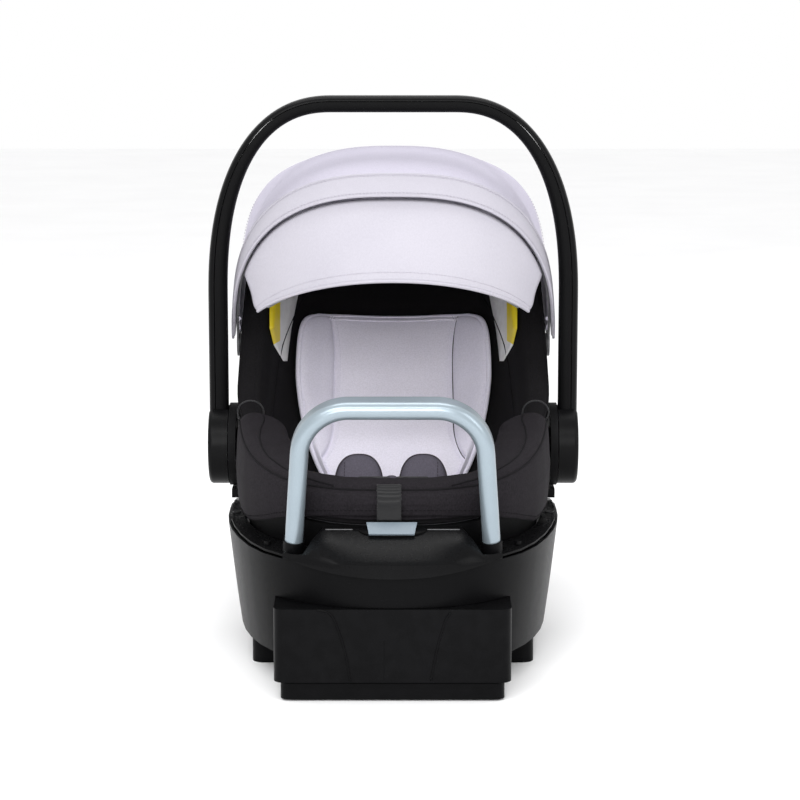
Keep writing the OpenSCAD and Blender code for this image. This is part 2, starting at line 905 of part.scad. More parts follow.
// Height of the base's top away from the cradle
function deck_top(y) =
    base_top + side_rise * ease(-290, -150, y) - (base_top + side_rise - base_rear_top) * ease(-20, 150, y);

// Height of the cowl over the front of the base, raised to a crest in the middle
function cowl_top(x, y) =
    base_top + crest_rise * (1 - ease(crest_half_w, crest_half_w + crest_fade, abs(x)))
        * ease(-base_centre - base_front + 6, crest_y, y);

// Height of the cradle under the carrier, clear by d
function cradle_z(x, y, d) =
    let (rho = seat_rho(x, y, -d))
    rho >= 0.995 ? 1000 : shell_z(rho, y, 0) - d;

// Where the cradle meets the top, along direction a
function cradle_edge(a, d, drop, lo, hi, n) =
    n == 0 ? (lo + hi) / 2 :
    let (mid = (lo + hi) / 2, p = base_xy(a, mid, 1, 1))
    cradle_z(p.x, p.y, d) > deck_top(p.y) - drop ? cradle_edge(a, d, drop, lo, mid, n - 1)
    : cradle_edge(a, d, drop, mid, hi, n - 1);

deck_edge = 0.983;
cradle_steps = [0.1, 0.28, 0.46, 0.62, 0.76, 0.87, 0.95, 0.99];

// A ring of the deck: s up to 1 lies in the cradle, from 1 to 2 on the top
function deck_ring(s, d, drop) = [
    for (i = [0 : base_points - 1])
        let (
            a = 360 * i / base_points,
            edge = cradle_edge(a, d, drop, 0.2, 0.98, 12),
            t = s <= 1 ? s * edge : edge + (deck_edge - edge) * (s - 1),
            p = base_xy(a, t, 1, 1))
        [p.x, p.y, min(deck_top(p.y) - drop, s < 1 ? cradle_z(p.x, p.y, d) : 1000)]
];

deck_t = 2.5;

deck_drop = cowl_t + fit_gap;

module base_deck() {
    color([0.08, 0.08, 0.085])
    difference() {
        skin(concat(
            [for (s = concat(cradle_steps, [1, 1.4, 2]))
                deck_ring(s, dock_gap + deck_t, deck_drop + deck_t)],
            [for (s = [2, 1.4, 1]) deck_ring(s, dock_gap, deck_drop)],
            [for (i = [len(cradle_steps) - 1 : -1 : 0])
                deck_ring(cradle_steps[i], dock_gap, deck_drop)]));
        bar_leg_holes();
    }
}

wall_drop = deck_drop + deck_t + 1.5;

function wall_ring(t, inset) = [
    for (i = [0 : base_points - 1])
        let (
            a = 360 * i / base_points,
            top = deck_top(base_xy(a, 1, 1, 1).y) - wall_drop,
            floor_z = base_under + inset,
            z = floor_z + (top - floor_z) * t,
            p = base_xy(a, 1, base_scale(z), base_len_scale(z)),
            k = 1 - inset / norm(p))
        [p.x * k, p.y * k, z]
];
function floor_ring(s, inset) = [
    for (p = wall_ring(0, inset)) [p.x * s, p.y * s - (1 - s) * base_centre, p.z]
];

module base_shell() {
    color([0.07, 0.07, 0.075])
    difference() {
        skin(concat(
            [floor_ring(0.3, 0)],
            [for (t = [0, 0.15, 0.35, 0.6, 0.85, 1]) wall_ring(t, 0)],
            [for (t = [1, 0.8, 0.5, 0.2, 0]) wall_ring(t, base_wall)],
            [floor_ring(0.3, base_wall)]));
        block([-leg_half_w - 0.5, leg_front - 40, 0], [leg_half_w + 0.5, leg_back + 0.5, leg_top + 0.5], 12);
        foot_guide_holes();
        screw_holes();
    }
}

// Front edge of the base's top at a place across it
function base_front_y(x) =
    -base_centre - base_front * pow(1 - pow(abs(x) / base_half_w, base_n_front), 1 / base_n_front);

// Back edge of the cowl: over the crest in the middle, in front of the bar's legs at the sides
function cowl_back_y(x) =
    let (k = ease(crest_half_w, crest_half_w + crest_fade, abs(x)))
    (crest_y + 4) * (1 - k) + (base_front_y(x) + 3) * k;

// Section of the cowl at x, d inside its outer face: up its back wall, over the top and down the front
function cowl_section(x, d) =
    let (
        lip = base_front_y(x),
        back = cowl_back_y(x) - d,
        seam = base_top - 17 + 15 * pow(x / cowl_half_w, 2))
    concat(
        [[x, back, base_top - 2.2 - d * 0.05]],
        [for (f = [0.02, 0.25, 0.6, 1])
            let (y = back + f * (lip + 2 + d - back)) [x, y, cowl_top(x, y) - (f < 0.1 ? 1 : 0) - d]],
        [[x, lip - 2.5 + d, base_top - 4 - d],
         [x, lip - 3 + d, (base_top + seam) / 2 - 4],
         [x, lip - 3 + d, seam - 2]]);

module front_cowl() {
    color([0.1, 0.1, 0.105])
    skin([
        for (i = [0 : 22])
            let (x = -cowl_half_w + 2 * cowl_half_w * i / 22, under = cowl_section(x, cowl_t))
            concat(cowl_section(x, 0), [for (j = [7 : -1 : 0]) under[j]])
    ]);
}

// Front leg: a low block under the base, and its tall front that stands at the face of the base
module front_leg_shape() {
    block([-leg_half_w, leg_front, leg_under], [leg_half_w, chassis_front + 20, base_under - 0.5], 12);
    block([-leg_half_w, leg_front, leg_under], [leg_half_w, leg_back, leg_top], 12);
}

// Lower tray of the base, whose underside is the face that the seat stands on
module base_chassis() {
    color([0.06, 0.06, 0.065])
    difference() {
        union() {
            block(
                [-chassis_half_w, chassis_front, 0],
                [chassis_half_w, chassis_rear, base_under - 0.5], 14);
            front_leg_shape();
        }
        block(
            [-chassis_half_w + 3, chassis_front + 3, 4],
            [chassis_half_w - 3, chassis_rear - 3, base_under + 1], 11);
        block(
            [-foot_half_w - 1, foot_front - 1, leg_under - 1],
            [foot_half_w + 1, foot_rear + 1, base_under - 5], 11);
        block(
            [-foot_half_w - 1, leg_back + 6, leg_under - 1],
            [foot_half_w + 1, foot_rear + 1, base_under + 1], 4);
        block(
            [-leg_half_w + leg_wall, leg_front + leg_wall, base_under],
            [leg_half_w - leg_wall, leg_back - leg_wall, leg_top - leg_wall], 8);
        foot_guide_holes();
        for (x = [-1, 1], y = grip_y)
            block([x * 135 - 20.3, y - 30.3, -1], [x * 135 + 20.3, y + 30.3, 1.8], 6.3);
        screw_holes();
    }
}

grip_y = [-130, 110];

module grip_pads() {
    color([0.13, 0.13, 0.13])
    for (x = [-1, 1], y = grip_y)
        block([x * 135 - 20, y - 30, 0], [x * 135 + 20, y + 30, 1.5], 6);
}

screw_places = [for (x = [-80, 80], y = [-150, -45, 125]) [x, y]];

module screw_holes() {
    for (p = screw_places) translate([p.x, p.y, -1]) cylinder(r = 2.4, h = base_under + 6);
    for (p = screw_places) translate([p.x, p.y, -1]) cylinder(r = 5, h = 3.6);
}

module base_screws() {
    color([0.6, 0.6, 0.62])
    for (p = screw_places) translate([p.x, p.y, 0]) {
        translate([0, 0, 0.3]) cylinder(r = 4.5, h = 2);
        translate([0, 0, 1]) cylinder(r = 2.1, h = base_under + 1);
    }
}

post_places = [for (x = [-90, 90], y = [-285, -240]) [x, y]];

module foot_guide_holes() {
    for (p = post_places) translate([p.x, p.y, base_under - 8]) cylinder(r = 8.6, h = 15);
}

module recline_foot() {
    color([0.05, 0.05, 0.055])
    difference() {
        union() {
            block([-foot_half_w, foot_front, 2], [foot_half_w, foot_rear, 20], 10);
            for (p = post_places) translate([p.x, p.y, 3]) cylinder(r = 8, h = 44 + recline_travel);
        }
        block([-foot_half_w + 4, foot_front + 4, 6], [-100, foot_rear - 4, 21], 6);
        block([100, foot_front + 4, 6], [foot_half_w - 4, foot_rear - 4, 21], 6);
        block([-78, foot_front + 4, 6], [78, foot_rear - 4, 21], 6);
    }
}

module foot_tread() {
    color([0.12, 0.12, 0.12])
    block([-foot_half_w + 6, foot_front + 6, 0], [foot_half_w - 6, foot_rear - 6, 2], 8);
}

// ---------- anti-rebound bar ----------

// A frame at the middle of the bar's foot, its Z along the bar's slope
module on_bar() {
    translate([0, bar_y, bar_foot_z]) rotate([bar_lean, 0, 0]) children();
}

bar_turn = 90 - bar_splay;
bar_leg_len = (bar_height - bar_t / 2 - bar_bend + bar_bend * sin(bar_splay)) / cos(bar_splay);
bar_below = 46;
bar_flat = bar_half_w - bar_leg_len * sin(bar_splay) - bar_bend * cos(bar_splay);

module bar_tube(w, l) {
    both_sides() translate([bar_half_w, 0, 0]) rotate([0, -bar_splay, 0]) {
        translate([0, 0, -bar_below]) linear_extrude(bar_below + bar_leg_len) stadium(w, l);
        translate([-bar_bend, 0, bar_leg_len]) rotate([90, 0, 0])
            rotate_extrude(angle = bar_turn) translate([bar_bend, 0]) stadium(w, l);
    }
    translate([-bar_flat, 0, bar_height - bar_t / 2]) rotate([0, 90, 0])
        linear_extrude(2 * bar_flat) stadium(w, l);
}

module anti_rebound_bar() {
    color([0.72, 0.78, 0.82])
    on_bar() bar_tube(bar_t, bar_depth);
}

module bar_leg_solid(grow, low, high) {
    on_bar() both_sides() translate([bar_half_w, 0, 0]) rotate([0, -bar_splay, 0])
        translate([0, 0, low]) linear_extrude(high - low) stadium(bar_t + 2 * grow, bar_depth + 2 * grow);
}

module bar_leg_holes() {
    bar_leg_solid(0.6, -bar_below - 10, 40);
}

module bar_collars() {
    color([0.03, 0.03, 0.035])
    difference() {
        bar_leg_solid(1.8, 1, 13);
        bar_leg_solid(0.3, 0, 40);
    }
}

// ---------- fittings of the base ----------

function crest_slope() = atan(crest_rise / (crest_y + base_centre + base_front - 6));

module release_lever() {
    color([0.62, 0.72, 0.8])
    translate([-1, crest_y - 8, cowl_top(0, crest_y - 8) + 0.8]) rotate([crest_slope(), 0, 0])
        linear_extrude(2)
            polygon([[-lever_half_w, 11], [lever_half_w, 11], [lever_half_w - 3, -9], [3 - lever_half_w, -9]]);
}

module latch_hooks() {
    color([0.5, 0.5, 0.52])
    for (x = [-1, 1], y = [-150, 60])
        block([x * 139 - 5, y - 18, base_under + 4], [x * 139 + 5, y + 18, 74], 4);
}

module release_link() {
    color([0.55, 0.55, 0.57])
    for (x = [-1, 1]) box([x * 147 - 1.5, -168, 52], [x * 147 + 1.5, 70, 62]);
}

module anchor_strap() {
    color([0.15, 0.15, 0.16])
    box([-112, -20, 16], [112, 18, 18]);
}

module anchor_connectors() {
    color([0.66, 0.66, 0.68])
    both_sides() difference() {
        block([114, -16, 8], [156, 14, 26], 6);
        block([134, -8, 7], [150, 6, 27], 4);
    }
}

module level_indicators() {
    color([0.85, 0.5, 0.2])
    both_sides() translate([base_half_w - 11, -100, deck_top(-100) - deck_drop + 0.2]) cylinder(r = 5, h = 1.5);
}

module deck_pegs() {
    color([0.12, 0.12, 0.13])
    both_sides() translate([140, -252, deck_top(-252) - deck_drop + 0.7]) cylinder(r = 4, h = 4);
}

rocker_shell();
seat_pan();
foam_liner();
seat_cover();
front_bolster();
head_insert();
harness_pads();
crotch_pad();
shoulder_straps();
hip_straps();
crotch_strap();
buckle_body();
buckle_button();
buckle_tongues();
chest_clip();
adjuster_strap();
adjuster_housing();
adjuster_button();
splitter_plate();
hub_housings();
lock_rings();
handle_pins();
canopy_pins();
rear_release_housing();
rear_release_lever();
latch_rods();
belt_guides();
side_labels();
handle_outer();
handle_inner();
handle_hubs();
handle_button_left();
handle_button_right();
canopy_rear();
canopy_bow();
canopy_band();
canopy_visor();
visor_wire();
base_shell();
base_deck();
front_cowl();
base_chassis();
grip_pads();
base_screws();
anti_rebound_bar();
bar_collars();
release_lever();
latch_hooks();
release_link();
anchor_strap();
anchor_connectors();
level_indicators();
deck_pegs();
recline_foot();
foot_tread();
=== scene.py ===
"""Looks of the infant car seat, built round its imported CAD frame.

X runs across the seat, +Y towards its head end and +Z up. Shapes are worked out in
millimetres, with the same seat form as the CAD source, and turned to metres when a mesh
is made.
"""

import math

import bmesh
import bpy
import numpy as np
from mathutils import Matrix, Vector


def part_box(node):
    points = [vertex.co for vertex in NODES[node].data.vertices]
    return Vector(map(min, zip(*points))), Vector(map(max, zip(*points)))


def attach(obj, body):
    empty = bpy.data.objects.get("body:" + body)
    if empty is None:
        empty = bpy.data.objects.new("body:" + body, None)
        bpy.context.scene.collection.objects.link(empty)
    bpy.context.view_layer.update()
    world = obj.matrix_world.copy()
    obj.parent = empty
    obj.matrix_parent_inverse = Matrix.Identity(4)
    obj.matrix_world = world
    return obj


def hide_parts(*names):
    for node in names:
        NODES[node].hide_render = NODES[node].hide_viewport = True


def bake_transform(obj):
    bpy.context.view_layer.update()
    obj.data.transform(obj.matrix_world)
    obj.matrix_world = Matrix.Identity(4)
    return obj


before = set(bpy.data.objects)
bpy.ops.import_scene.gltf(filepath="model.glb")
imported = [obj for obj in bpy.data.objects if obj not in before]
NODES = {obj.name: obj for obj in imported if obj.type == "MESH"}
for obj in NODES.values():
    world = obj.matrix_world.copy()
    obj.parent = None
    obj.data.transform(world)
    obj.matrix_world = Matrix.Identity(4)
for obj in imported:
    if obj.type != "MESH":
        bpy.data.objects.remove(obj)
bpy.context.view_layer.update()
MM = 0.001
SIDES = (("left", -1), ("right", 1))

# ---------- camera, floor and lights ----------

CAMERA_PLACE = (0.00813, -3.0, 0.7755)
CAMERA_TILT = math.radians(80.594)
CAMERA_LENS = 113.065


def placed(name, data):
    """A new object of the scene that shows the data."""
    thing = bpy.data.objects.new(name, data)
    bpy.context.scene.collection.objects.link(thing)
    return thing


def add_camera():
    data = bpy.data.cameras.new("camera")
    data.lens = CAMERA_LENS
    data.sensor_width = 36
    data.clip_end = 50
    camera = placed("camera", data)
    camera.location = CAMERA_PLACE
    camera.rotation_euler = (CAMERA_TILT, 0, 0)
    bpy.context.scene.camera = camera


def add_light(name, place, target, size, power, colour=(1, 1, 1)):
    data = bpy.data.lights.new(name, "AREA")
    data.shape = "RECTANGLE"
    data.size, data.size_y = size
    data.energy = power
    data.color = colour
    light = placed(name, data)
    light.location = place
    aim = np.array(target, float) - np.array(place, float)
    light.rotation_euler = (
        math.atan2(math.hypot(aim[0], aim[1]), -aim[2]),
        0,
        math.atan2(-aim[0], aim[1]),
    )


def add_world():
    world = bpy.data.worlds.new("studio")
    world.use_nodes = True
    background = world.node_tree.nodes["Background"]
    background.inputs["Color"].default_value = (1, 1, 1, 1)
    background.inputs["Strength"].default_value = 1.0
    bpy.context.scene.world = world
    bpy.context.scene.view_settings.view_transform = "Standard"


# ---------- materials ----------


class Shader:
    """A material with one principled shader, and short ways to add nodes to it."""

    def __init__(self, name, rough=0.6, metal=0.0):
        self.material = bpy.data.materials.new(name)
        self.material.use_nodes = True
        self.tree = self.material.node_tree
        self.out = self.tree.nodes["Principled BSDF"]
        self.set("Roughness", rough)
        self.set("Metallic", metal)
        self.place = self.add("ShaderNodeTexCoord").outputs["Object"]

    def add(self, kind, sockets=None, **values):
        """A node with its values set and its sockets filled with numbers or other sockets."""
        node = self.tree.nodes.new(kind)
        for key, value in values.items():
            setattr(node, key, value)
        for key, value in (sockets or {}).items():
            self.fill(node.inputs[key], value)
        return node

    def fill(self, socket, value):
        if isinstance(value, bpy.types.NodeSocket):
            self.tree.links.new(value, socket)
        else:
            socket.default_value = value

    def set(self, name, value):
        self.fill(self.out.inputs[name], value)

    def stretched(self, scale):
        return self.add("ShaderNodeMapping", {"Scale": scale, "Vector": self.place}).outputs["Vector"]

    def noise(self, scale, detail=3, rough=0.6, vector=None):
        return self.add("ShaderNodeTexNoise", {
            "Scale": scale, "Detail": detail, "Roughness": rough, "Vector": vector or self.place,
        }).outputs["Fac"]

    def wave(self, scale, axis, distortion=0.0):
        return self.add("ShaderNodeTexWave", {
            "Scale": scale, "Distortion": distortion, "Detail": 0, "Vector": self.place,
        }, wave_type="BANDS", bands_direction=axis).outputs["Fac"]

    def cells(self, scale):
        return self.add("ShaderNodeTexVoronoi", {"Scale": scale, "Vector": self.place},
                        feature="F1").outputs["Distance"]

    def math(self, kind, a, b):
        return self.add("ShaderNodeMath", {0: a, 1: b}, operation=kind).outputs[0]

    def ramp(self, value, low, high, colour_low, colour_high):
        node = self.add("ShaderNodeValToRGB", {"Fac": value})
        ends = node.color_ramp.elements
        ends[0].position, ends[1].position = low, high
        ends[0].color = (*colour_low, 1)
        ends[1].color = (*colour_high, 1)
        return node.outputs["Color"]

    def mix(self, how, factor, a, b):
        node = self.add("ShaderNodeMix", {"Factor": factor}, data_type="RGBA", blend_type=how)
        for name, value in (("A", a), ("B", b)):
            socket = [s for s in node.inputs if s.name == name and s.type == "RGBA"][0]
            self.fill(socket, (*value, 1) if isinstance(value, tuple) else value)
        return [s for s in node.outputs if s.type == "RGBA"][0]

    def colour(self, socket):
        self.set("Base Color", socket)

    def roughness(self, value, low, high):
        spread = self.add("ShaderNodeMapRange", {"To Min": low, "To Max": high, "Value": value})
        self.set("Roughness", spread.outputs["Result"])

    def bump(self, *layers):
        """Each layer is (height socket, strength, depth in metres)."""
        below = {}
        for height, strength, depth in layers:
            node = self.add("ShaderNodeBump", {
                "Strength": strength, "Distance": depth, "Height": height, **below})
            below = {"Normal": node.outputs["Normal"]}
        self.set("Normal", below["Normal"])


def tint(colour, k):
    return tuple(min(1.0, c * k) for c in colour)


def cloth_material(name, colour, contrast=0.12, weave=330, sheen=0.35, rough=0.9):
    """Heathered knit: light and dark yarns, a fine weave and soft folds in tone."""
    m = Shader(name, rough)
    yarn = m.noise(620, 4, 0.75, m.stretched((1, 1, 0.55)))
    heather = m.ramp(yarn, 0.36, 0.64, tint(colour, 1 - contrast), tint(colour, 1 + contrast))
    broad = m.ramp(m.noise(7, 2), 0.3, 0.7, (0.94, 0.94, 0.95), (1.0, 1.0, 1.0))
    m.colour(m.mix("MULTIPLY", 1.0, heather, broad))
    threads = m.math("MULTIPLY", m.wave(weave, "X", 0.6), m.wave(weave, "DIAGONAL", 0.6))
    m.roughness(yarn, rough - 0.08, min(1.0, rough + 0.06))
    fuzz, folds = m.noise(900, 3, 0.7), m.noise(26, 2)
    m.bump((threads, 0.35, 0.0004), (fuzz, 0.3, 0.0003), (folds, 0.12, 0.003))
    m.set("Sheen Weight", sheen)
    m.set("Sheen Roughness", 0.45)
    m.set("Sheen Tint", (*tint(colour, 1.3), 1))
    m.set("Specular IOR Level", 0.12)
    return m.material


def webbing_material(name, colour, rough=0.6):
    m = Shader(name, rough)
    ribs = m.math("MULTIPLY", m.wave(420, "X", 0.2), m.wave(260, "Y", 0.3))
    m.colour(m.ramp(ribs, 0.1, 0.8, tint(colour, 0.7), tint(colour, 1.2)))
    m.bump((ribs, 0.6, 0.0006), (m.noise(1100, 2), 0.2, 0.0002))
    m.set("Sheen Weight", 0.15)
    m.set("Sheen Roughness", 0.4)
    m.set("Specular IOR Level", 0.2)
    return m.material


def plastic_material(name, colour, rough, grain=0.25, shine=0.25, wear=0.2):
    """Moulded plastic: fine grain, a little cloudiness, and edges rubbed lighter."""
    m = Shader(name, rough)
    cloudy = m.ramp(m.noise(11, 3), 0.3, 0.72, tint(colour, 0.88), tint(colour, 1.12))
    edge = m.add("ShaderNodeNewGeometry").outputs["Pointiness"]
    rubbed = m.ramp(edge, 0.53, 0.62, (0, 0, 0), (wear, wear, wear))
    patches = m.ramp(m.noise(60, 3), 0.4, 0.62, (0.2,) * 3, (1.0,) * 3)
    patchy = m.mix("MULTIPLY", 1.0, rubbed, patches)
    m.colour(m.mix("ADD", 1.0, cloudy, m.mix("MULTIPLY", 1.0, patchy, tint(colour, 2.5))))
    m.roughness(m.noise(170, 4, 0.7), rough - 0.06, rough + 0.07)
    m.bump((m.cells(1400), grain, 0.00025), (m.noise(5, 1), 0.05, 0.004))
    m.set("Specular IOR Level", shine)
    return m.material


def metal_material(name, colour, rough, along=(1, 1, 40)):
    m = Shader(name, rough, 1.0)
    brushed = m.noise(260, 3, 0.7, m.stretched(along))
    m.colour(m.ramp(brushed, 0.3, 0.7, tint(colour, 0.86), tint(colour, 1.08)))
    m.roughness(brushed, rough - 0.07, rough + 0.1)
    m.bump((brushed, 0.12, 0.0002))
    return m.material


def paint_material(name, colour, rough, flake=0.25, metal=0.55):
    """Satin metallic paint over a smooth tube."""
    m = Shader(name, rough, metal)
    flakes = m.noise(2400, 2, 0.8)
    dark, light = tint(colour, 1 - flake * 0.35), tint(colour, 1 + flake * 0.25)
    tone = m.ramp(flakes, 0.4, 0.6, dark, light)
    clouds = m.ramp(m.noise(14, 2), 0.3, 0.7, (0.95,) * 3, (1.0,) * 3)
    m.colour(m.mix("MULTIPLY", 1.0, tone, clouds))
    m.roughness(m.noise(300, 3), rough - 0.05, rough + 0.06)
    m.bump((m.noise(700, 3), 0.06, 0.0002))
    m.set("Coat Weight", 0.25)
    m.set("Coat Roughness", 0.25)
    return m.material


def rubber_material(name, colour):
    m = Shader(name, 0.85)
    m.colour(m.ramp(m.noise(40, 4), 0.3, 0.7, tint(colour, 0.8), tint(colour, 1.25)))
    m.bump((m.cells(600), 0.4, 0.0005), (m.noise(1500, 2), 0.3, 0.0002))
    return m.material


def foam_material(name, colour):
    m = Shader(name, 0.9)
    beads = m.cells(260)
    m.colour(m.ramp(beads, 0.1, 0.9, tint(colour, 1.2), tint(colour, 0.7)))
    m.bump((beads, 0.7, 0.0015))
    return m.material


STRIP_X, STRIP_Z = 0.1415, 0.336  # metres: the yellow strip lies further out and up than this


def label_material(name):
    """Blank film: white, with a plain yellow strip up its outer side."""
    m = Shader(name, 0.35)
    split = m.add("ShaderNodeSeparateXYZ", {"Vector": m.place})
    outer = m.math("GREATER_THAN", m.math("ABSOLUTE", split.outputs["X"], 0.0), STRIP_X)
    upper = m.math("GREATER_THAN", split.outputs["Z"], STRIP_Z)
    paper = m.ramp(m.noise(90, 3), 0.3, 0.7, (0.74, 0.74, 0.72), (0.84, 0.84, 0.83))
    m.colour(m.mix("MIX", m.math("MULTIPLY", outer, upper), paper, (0.87, 0.68, 0.02)))
    m.roughness(m.noise(200, 2), 0.28, 0.42)
    m.bump((m.noise(400, 2), 0.1, 0.0002))
    return m.material


# colour, roughness and, where given, grain, shine and wear
PLASTICS = {
    "shell": ((0.004, 0.004, 0.0043), 0.5, 0.3, 0.05),
    "handle": ((0.0035, 0.0035, 0.0038), 0.32, 0.1, 0.07, 0.1),
    "grip": ((0.0033, 0.0033, 0.0036), 0.45, 0.4, 0.05),
    "base": ((0.0025, 0.0025, 0.0028), 0.36, 0.3, 0.05),
    "deck": ((0.003, 0.003, 0.0033), 0.28, 0.2, 0.07),
    "groove": ((0.002, 0.002, 0.002), 0.7, 0.2, 0.05),
    "pan": ((0.06, 0.06, 0.065), 0.6),
    "buckle": ((0.014, 0.014, 0.015), 0.3, 0.1),
    "grey": ((0.09, 0.09, 0.095), 0.45),
    "red": ((0.42, 0.02, 0.015), 0.35, 0.1, 0.4),
}
MATERIALS = {
    "lilac": cloth_material("lilac_knit", (0.455, 0.435, 0.51), 0.06, 300, 0.12),
    "pale": cloth_material("pale_knit", (0.385, 0.372, 0.415), 0.04, 300, 0.12),
    "visor": cloth_material("visor_knit", (0.40, 0.387, 0.43), 0.04, 300, 0.12),
    "insert": cloth_material("insert_knit", (0.86, 0.83, 0.93), 0.07, 300, 0.15),
    "wing": cloth_material("wing_knit", (0.78, 0.755, 0.86), 0.07, 300, 0.15),
    "mauve": cloth_material("mauve_knit", (0.10, 0.092, 0.115), 0.14, 320, 0.1),
    "charcoal": cloth_material("charcoal_weave", (0.0125, 0.0108, 0.013), 0.38, 260, 0.02),
    "black_cloth": cloth_material("black_brushed", (0.0065, 0.006, 0.0068), 0.3, 300, 0.03),
    "thread_dark": cloth_material("dark_thread", (0.006, 0.0055, 0.0065), 0.2, 500, 0.02),
    "thread_pale": cloth_material("pale_thread", (0.42, 0.40, 0.45), 0.1, 500, 0.1),
    # dark piping of the harness pads; on the insert's right seam the same dark is painted shade
    "piping_dark_and_seam_shade": cloth_material("dark_piping_and_seam_shade", (0.045, 0.038, 0.047), 0.2, 400, 0.1),
    "webbing": webbing_material("grey_webbing", (0.28, 0.27, 0.31)),
    "webbing_black": webbing_material("black_webbing", (0.012, 0.012, 0.013), 0.4),
    "elastic": webbing_material("elastic_cord", (0.02, 0.02, 0.022)),
    "bar": paint_material("bar_paint", (0.27, 0.325, 0.365), 0.3),
    "lever": paint_material("lever_paint", (0.16, 0.2, 0.235), 0.5, 0.25, 0.2),
    "steel": metal_material("brushed_steel", (0.6, 0.6, 0.62), 0.3),
    "rubber": rubber_material("black_rubber", (0.015, 0.015, 0.015)),
    "foam": foam_material("grey_foam", (0.12, 0.12, 0.13)),
    "label": label_material("blank_label"),
    **{name: plastic_material(f"{name}_plastic", *row) for name, row in PLASTICS.items()},
}

CAD_LOOKS = {
    "shell": ["hub_housings", "rear_release_housing", "belt_guides"],
    "pan": ["seat_pan"],
    "foam": ["foam_liner"],
    "buckle": ["buckle_body", "chest_clip", "adjuster_housing", "level_indicators"],
    "red": ["buckle_button"],
    "grey": ["adjuster_button", "rear_release_lever", "canopy_bow", "canopy_pins"],
    "steel": ["buckle_tongues", "splitter_plate", "lock_rings", "handle_pins", "latch_rods",
              "visor_wire", "base_screws", "latch_hooks", "release_link", "anchor_connectors"],
    "handle": ["handle_hubs", "handle_button_left", "handle_button_right"],
    "base": ["base_chassis", "recline_foot", "bar_collars"],
    "deck": ["deck_pegs"],
    "rubber": ["grip_pads", "foot_tread"],
    "bar": ["anti_rebound_bar"],
    "lever": ["release_lever"],
}
# CAD nodes of many flat facets, shown by a smooth copy: (material, body)
SMOOTHED = {
    "rocker_shell": ("shell", "carrier"),
    "base_shell": ("base", "base"),
    "base_deck": ("deck", "base"),
    "front_cowl": ("deck", "base"),
}
SMOOTH_ANGLE = math.radians(32)
WELD_GAP = 0.00002


def smooth(thing, angle=SMOOTH_ANGLE):
    """Smooth shading with sharp edges kept where faces meet at more than an angle."""
    mesh = thing.data
    mesh.polygons.foreach_set("use_smooth", [True] * len(mesh.polygons))
    edges = bmesh.new()
    edges.from_mesh(mesh)
    sharp = [e.index for e in edges.edges
             if len(e.link_faces) == 2 and e.calc_face_angle() > angle]
    edges.free()
    flags = [False] * len(mesh.edges)
    for i in sharp:
        flags[i] = True
    attribute = (mesh.attributes.get("sharp_edge")
                 or mesh.attributes.new("sharp_edge", "BOOLEAN", "EDGE"))
    attribute.data.foreach_set("value", flags)


def dress(pieces, body):
    """Puts pieces on a body."""
    for piece in pieces:
        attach(piece, body)


def padding(piece, body, node):
    """A padded piece that stands for a CAD node."""
    dress([piece], body)
    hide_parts(node)


def dress_cad():
    """Materials of the CAD nodes that stay."""
    for look, names in CAD_LOOKS.items():
        for name in names:
            thing = NODES[name]
            thing.data.materials.clear()
            thing.data.materials.append(MATERIALS[look])


def smooth_copies():
    """Smooth copies of the faceted mouldings, on the same points."""
    for name, (look, body) in SMOOTHED.items():
        source = NODES[name]
        points = [source.matrix_world @ v.co for v in source.data.vertices]
        faces = [tuple(p.vertices) for p in source.data.polygons]
        mesh = bpy.data.meshes.new(f"{name}_skin")
        mesh.from_pydata(points, [], faces)
        weld = bmesh.new()
        weld.from_mesh(mesh)
        bmesh.ops.remove_doubles(weld, verts=weld.verts, dist=WELD_GAP)
        weld.to_mesh(mesh)
        weld.free()
        thing = placed(f"{name}_skin", mesh)
        mesh.materials.append(MATERIALS[look])
        smooth(thing)
        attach(thing, body)
        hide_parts(name)


# ---------- mesh helpers ----------


def cosd(degrees):
    return np.cos(np.radians(degrees))


def sind(degrees):
    return np.sin(np.radians(degrees))


def at(x, y, z):
    """Points from coordinates, of which some may be single numbers."""
    return np.stack(np.broadcast_arrays(x, y, z), -1)


def add_mesh(name, points, faces, look):
    mesh = bpy.data.meshes.new(name)
    mesh.from_pydata([tuple(map(float, p)) for p in np.asarray(points, float) * MM], [], faces)
    mesh.validate()
    thing = placed(name, mesh)
    mesh.materials.append(MATERIALS[look])
    mend = bmesh.new()
    mend.from_mesh(mesh)
    bmesh.ops.recalc_face_normals(mend, faces=mend.faces)
    mend.to_mesh(mesh)
    mend.free()
    mesh.polygons.foreach_set("use_smooth", [True] * len(mesh.polygons))
    return thing


def lofted(name, rings, look, closed=False):
    """A closed solid through rings of points, with flat ends unless the loft is closed."""
    rings = np.asarray(rings, float)
    m, n = rings.shape[:2]
    faces = []
    for j in range(m if closed else m - 1):
        a, b = j * n, (j + 1) % m * n
        faces += [(a + i, a + (i + 1) % n, b + (i + 1) % n, b + i) for i in range(n)]
    if not closed:
        faces += [tuple(range(n)), tuple((m - 1) * n + i for i in range(n))]
    return add_mesh(name, rings.reshape(-1, 3), faces, look)


def grid_normals(grid):
    du = np.gradient(grid, axis=0)
    dv = np.gradient(grid, axis=1)
    normal = np.cross(du, dv)
    return normal / (np.linalg.norm(normal, axis=2, keepdims=True) + 1e-12)


